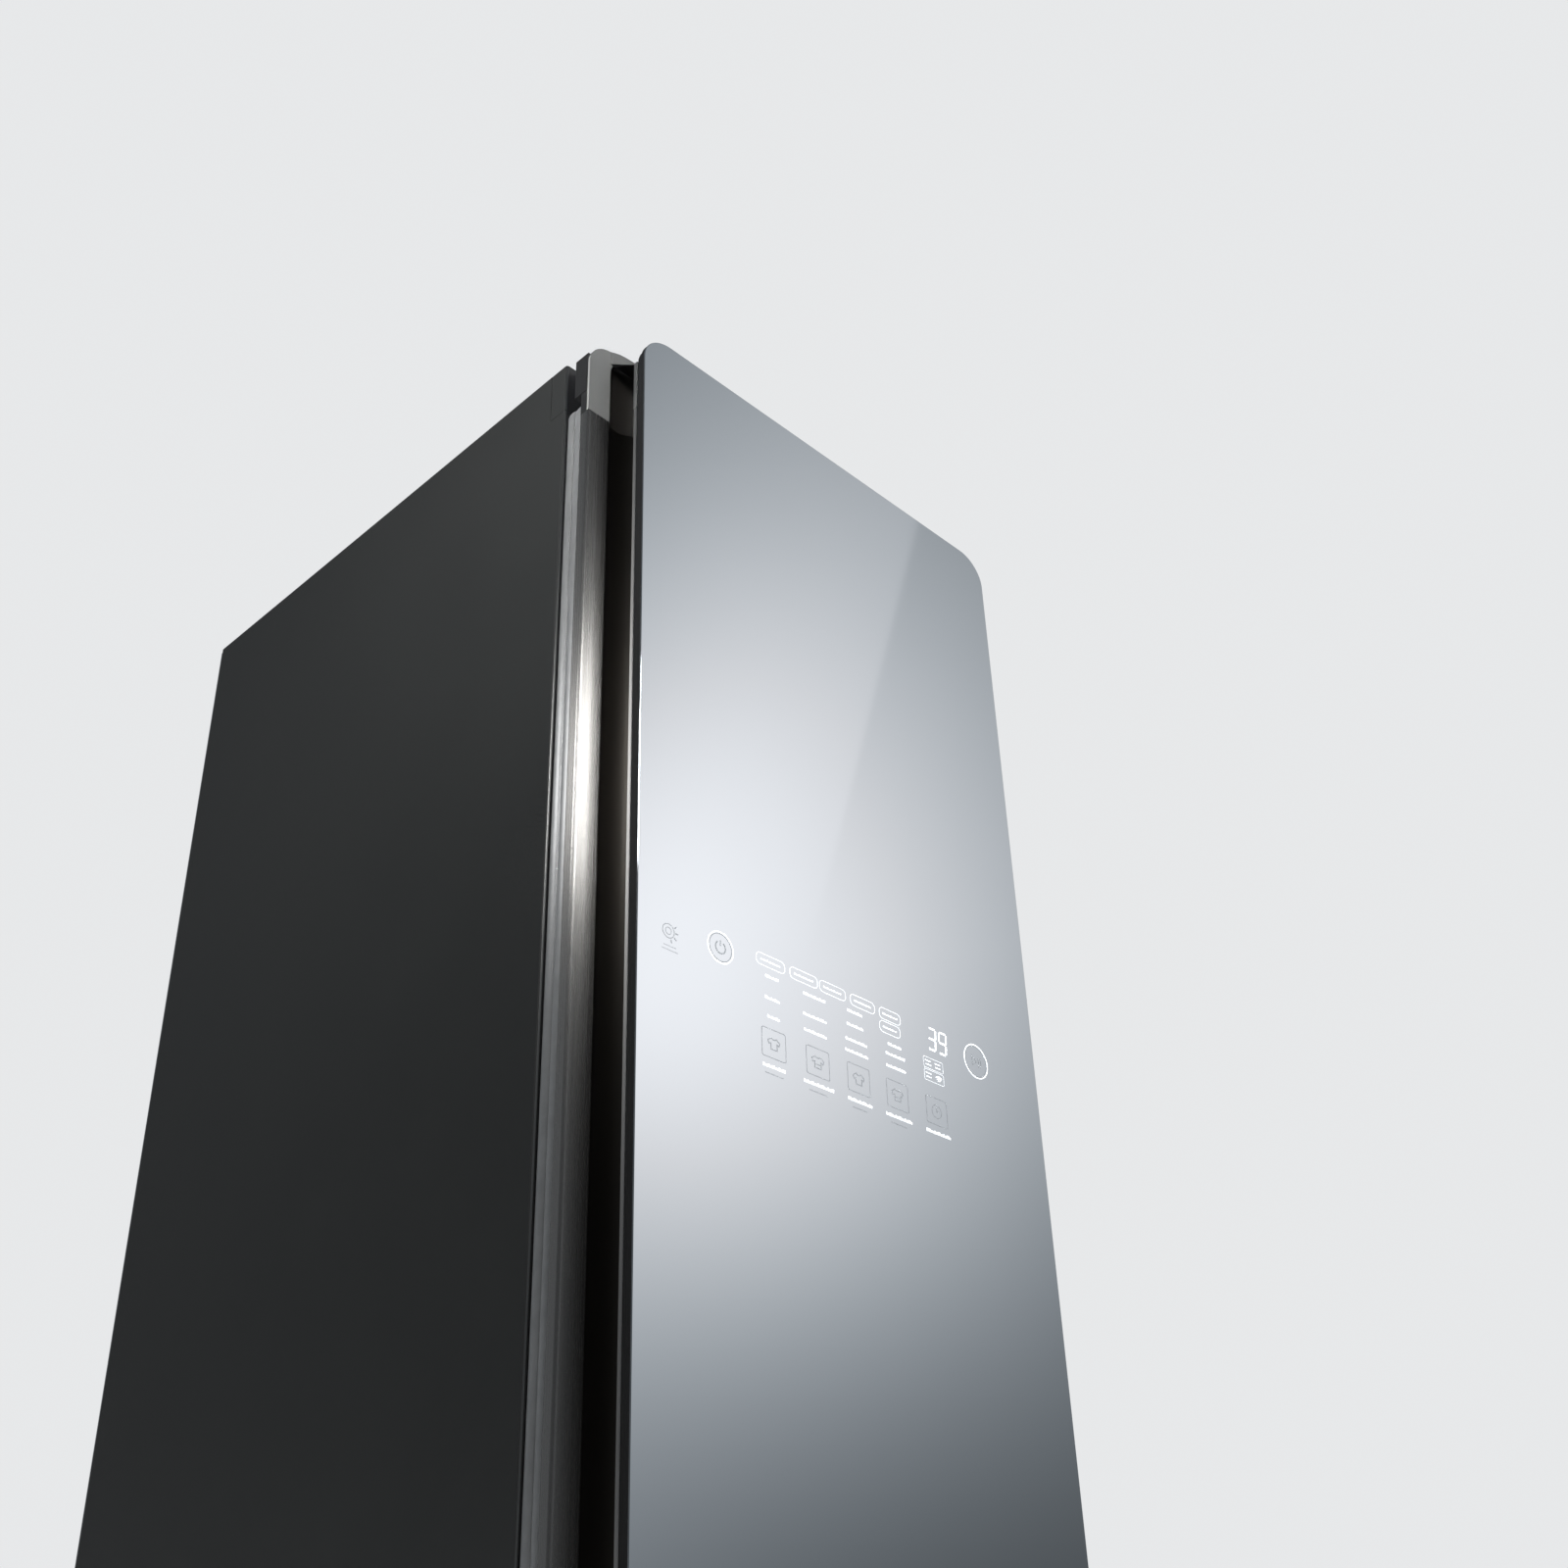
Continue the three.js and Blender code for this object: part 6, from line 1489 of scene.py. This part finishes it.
# %% [markdown]
# ## Pills and rows of fine print
# A row of small pills stands between the round marks, each with a row of strokes in it. Below
# them are four columns of fine print. The tables give each pill's span, and each column's
# middle with the height and width of its rows, because no rule would give their uneven places.

# %% Pills and rows of fine print
PILLS = [(109.0, 137.0), (142.0, 170.0), (172.0, 199.0), (204.0, 230.0), (235.0, 258.0)]
COLUMNS = [
    (124.0, [(-538.5, 13), (-555.0, 15), (-569.0, 11)]),
    (166.0, [(-539.0, 22), (-555.0, 24), (-567.0, 23)]),
    (208.0, [(-537.0, 16), (-548.0, 18), (-560.0, 22), (-569.0, 24)]),
    (250.0, [(-550.0, 15), (-558.0, 21), (-567.6, 21)]),
]

for i, u in enumerate(PILLS):
    white.pill(u, (-531.5, -522.5))
    dashes(white, ((u[0] + u[1]) / 2, -527.0), (u[1] - u[0]) * 0.7, 1.3, i)
white.pill((234.5, 257.0), (-542.2, -533.2))
dashes(white, (245.7, -537.7), 15.0, 1.3, 2)
for u, rows in COLUMNS:
    for i, (v, width) in enumerate(rows):
        dashes(white, (u, v), width, 2.1, i + int(u))
print("strokes so far", len(white.form.faces) + len(grey.form.faces))

# %% [markdown]
# ## Framed signs
# Five faint frames stand in a row over their fine print, four with a shirt and one with a clock.
# The shirt is one closed path, which is drawn at the size that each frame needs.

# %% Framed signs
SIGNS_V = -589.0
SIGN_HALF_U, SIGN_HALF_V = 11.4, 10.6
SIGNS = [(124.0, 22, 18), (167.0, 29, 19), (208.5, 24, 15), (249.5, 27, 17), (292.5, 26, None)]
SHIRT = [
    (-0.55, -0.75), (0.55, -0.75), (0.55, 0.1), (0.9, -0.05), (1.05, 0.4), (0.45, 0.8),
    (0.2, 0.62), (-0.2, 0.62), (-0.45, 0.8), (-1.05, 0.4), (-0.9, -0.05), (-0.55, 0.1),
]


def framed_sign(i, u, wide_row, small_row):
    v = SIGNS_V
    grey.box((u - SIGN_HALF_U, u + SIGN_HALF_U), (v - SIGN_HALF_V, v + SIGN_HALF_V), 1.6, 4, 0.5)
    if small_row:
        size = 5.4 + 0.3 * (i % 2)
        grey.stroke([(u + a * size, v + b * size) for a, b in SHIRT], 0.75, closed=True)
    else:
        grey.ring((u, v), 5.2, 0.6)
        grey.stroke([(u, v + 3.4), (u, v), (u + 2.6, v)], 0.6)
    if i % 2:
        grey.stroke([(u - 2.5, v - 1.5), (u + 2.5, v - 1.5)], 0.6)
    dashes(white, (u, -606.0), wide_row, 2.4, i)
    if small_row:
        dashes(grey, (u, -611.6), small_row, 0.9, i + 2)


for i, sign in enumerate(SIGNS):
    framed_sign(i, *sign)
print("strokes so far", len(white.form.faces) + len(grey.form.faces))

# %% [markdown]
# ## Time left
# The display shows two numbers in seven lit strokes each, leaning a little as on most displays,
# and four small fields below them. Its strokes are the widest on the panel, so that it is the
# first thing to read from across a room.

# %% Time left
LEAN = 0.08
DIGIT_LINES = {"3": "abgcd", "9": "abcdfg"}
FIELD_U = (281.6, 303.4)


def digit(u, v, width, height, lit):
    """One number in lit strokes; u and v are its middle."""
    half_w, half_h, trim = width / 2, height / 2, 0.7
    lines = {
        "a": [(-half_w + trim, half_h), (half_w - trim, half_h)],
        "g": [(-half_w + trim, 0), (half_w - trim, 0)],
        "d": [(-half_w + trim, -half_h), (half_w - trim, -half_h)],
        "b": [(half_w, half_h - trim), (half_w, trim)],
        "c": [(half_w, -trim), (half_w, -half_h + trim)],
        "f": [(-half_w, half_h - trim), (-half_w, trim)],
    }
    for name in lit:
        white.stroke([(u + a + b * LEAN, v + b) for a, b in lines[name]], 1.5)


def small_field(u, v, seed):
    dashes(white, (u, v + 1.6), 7.0, 1.0, seed)
    dashes(white, (u, v - 1.4), 6.0, 1.0, seed + 3)


for name, u in (("3", 293.4), ("9", 305.4)):
    digit(u, -530.5, 8.0, 17.5, DIGIT_LINES[name])
for row, v in enumerate((-551.5, -561.5)):
    small_field(287.0, v, row)
    if row:
        for radius in (1.6, 3.2, 4.8):
            white.stroke(arc((297.8, v - 3.0), radius, radians(45), radians(135), 8), 0.7)
    else:
        small_field(297.8, v, row + 1)
    white.box(FIELD_U, (v - 4.4, v + 4.4), 1.2, 3, 0.18)

white.finish("white_print", "lamp_plastic")
grey.finish("grey_print", "cap_plastic")

# %% [markdown]
# ## Finish
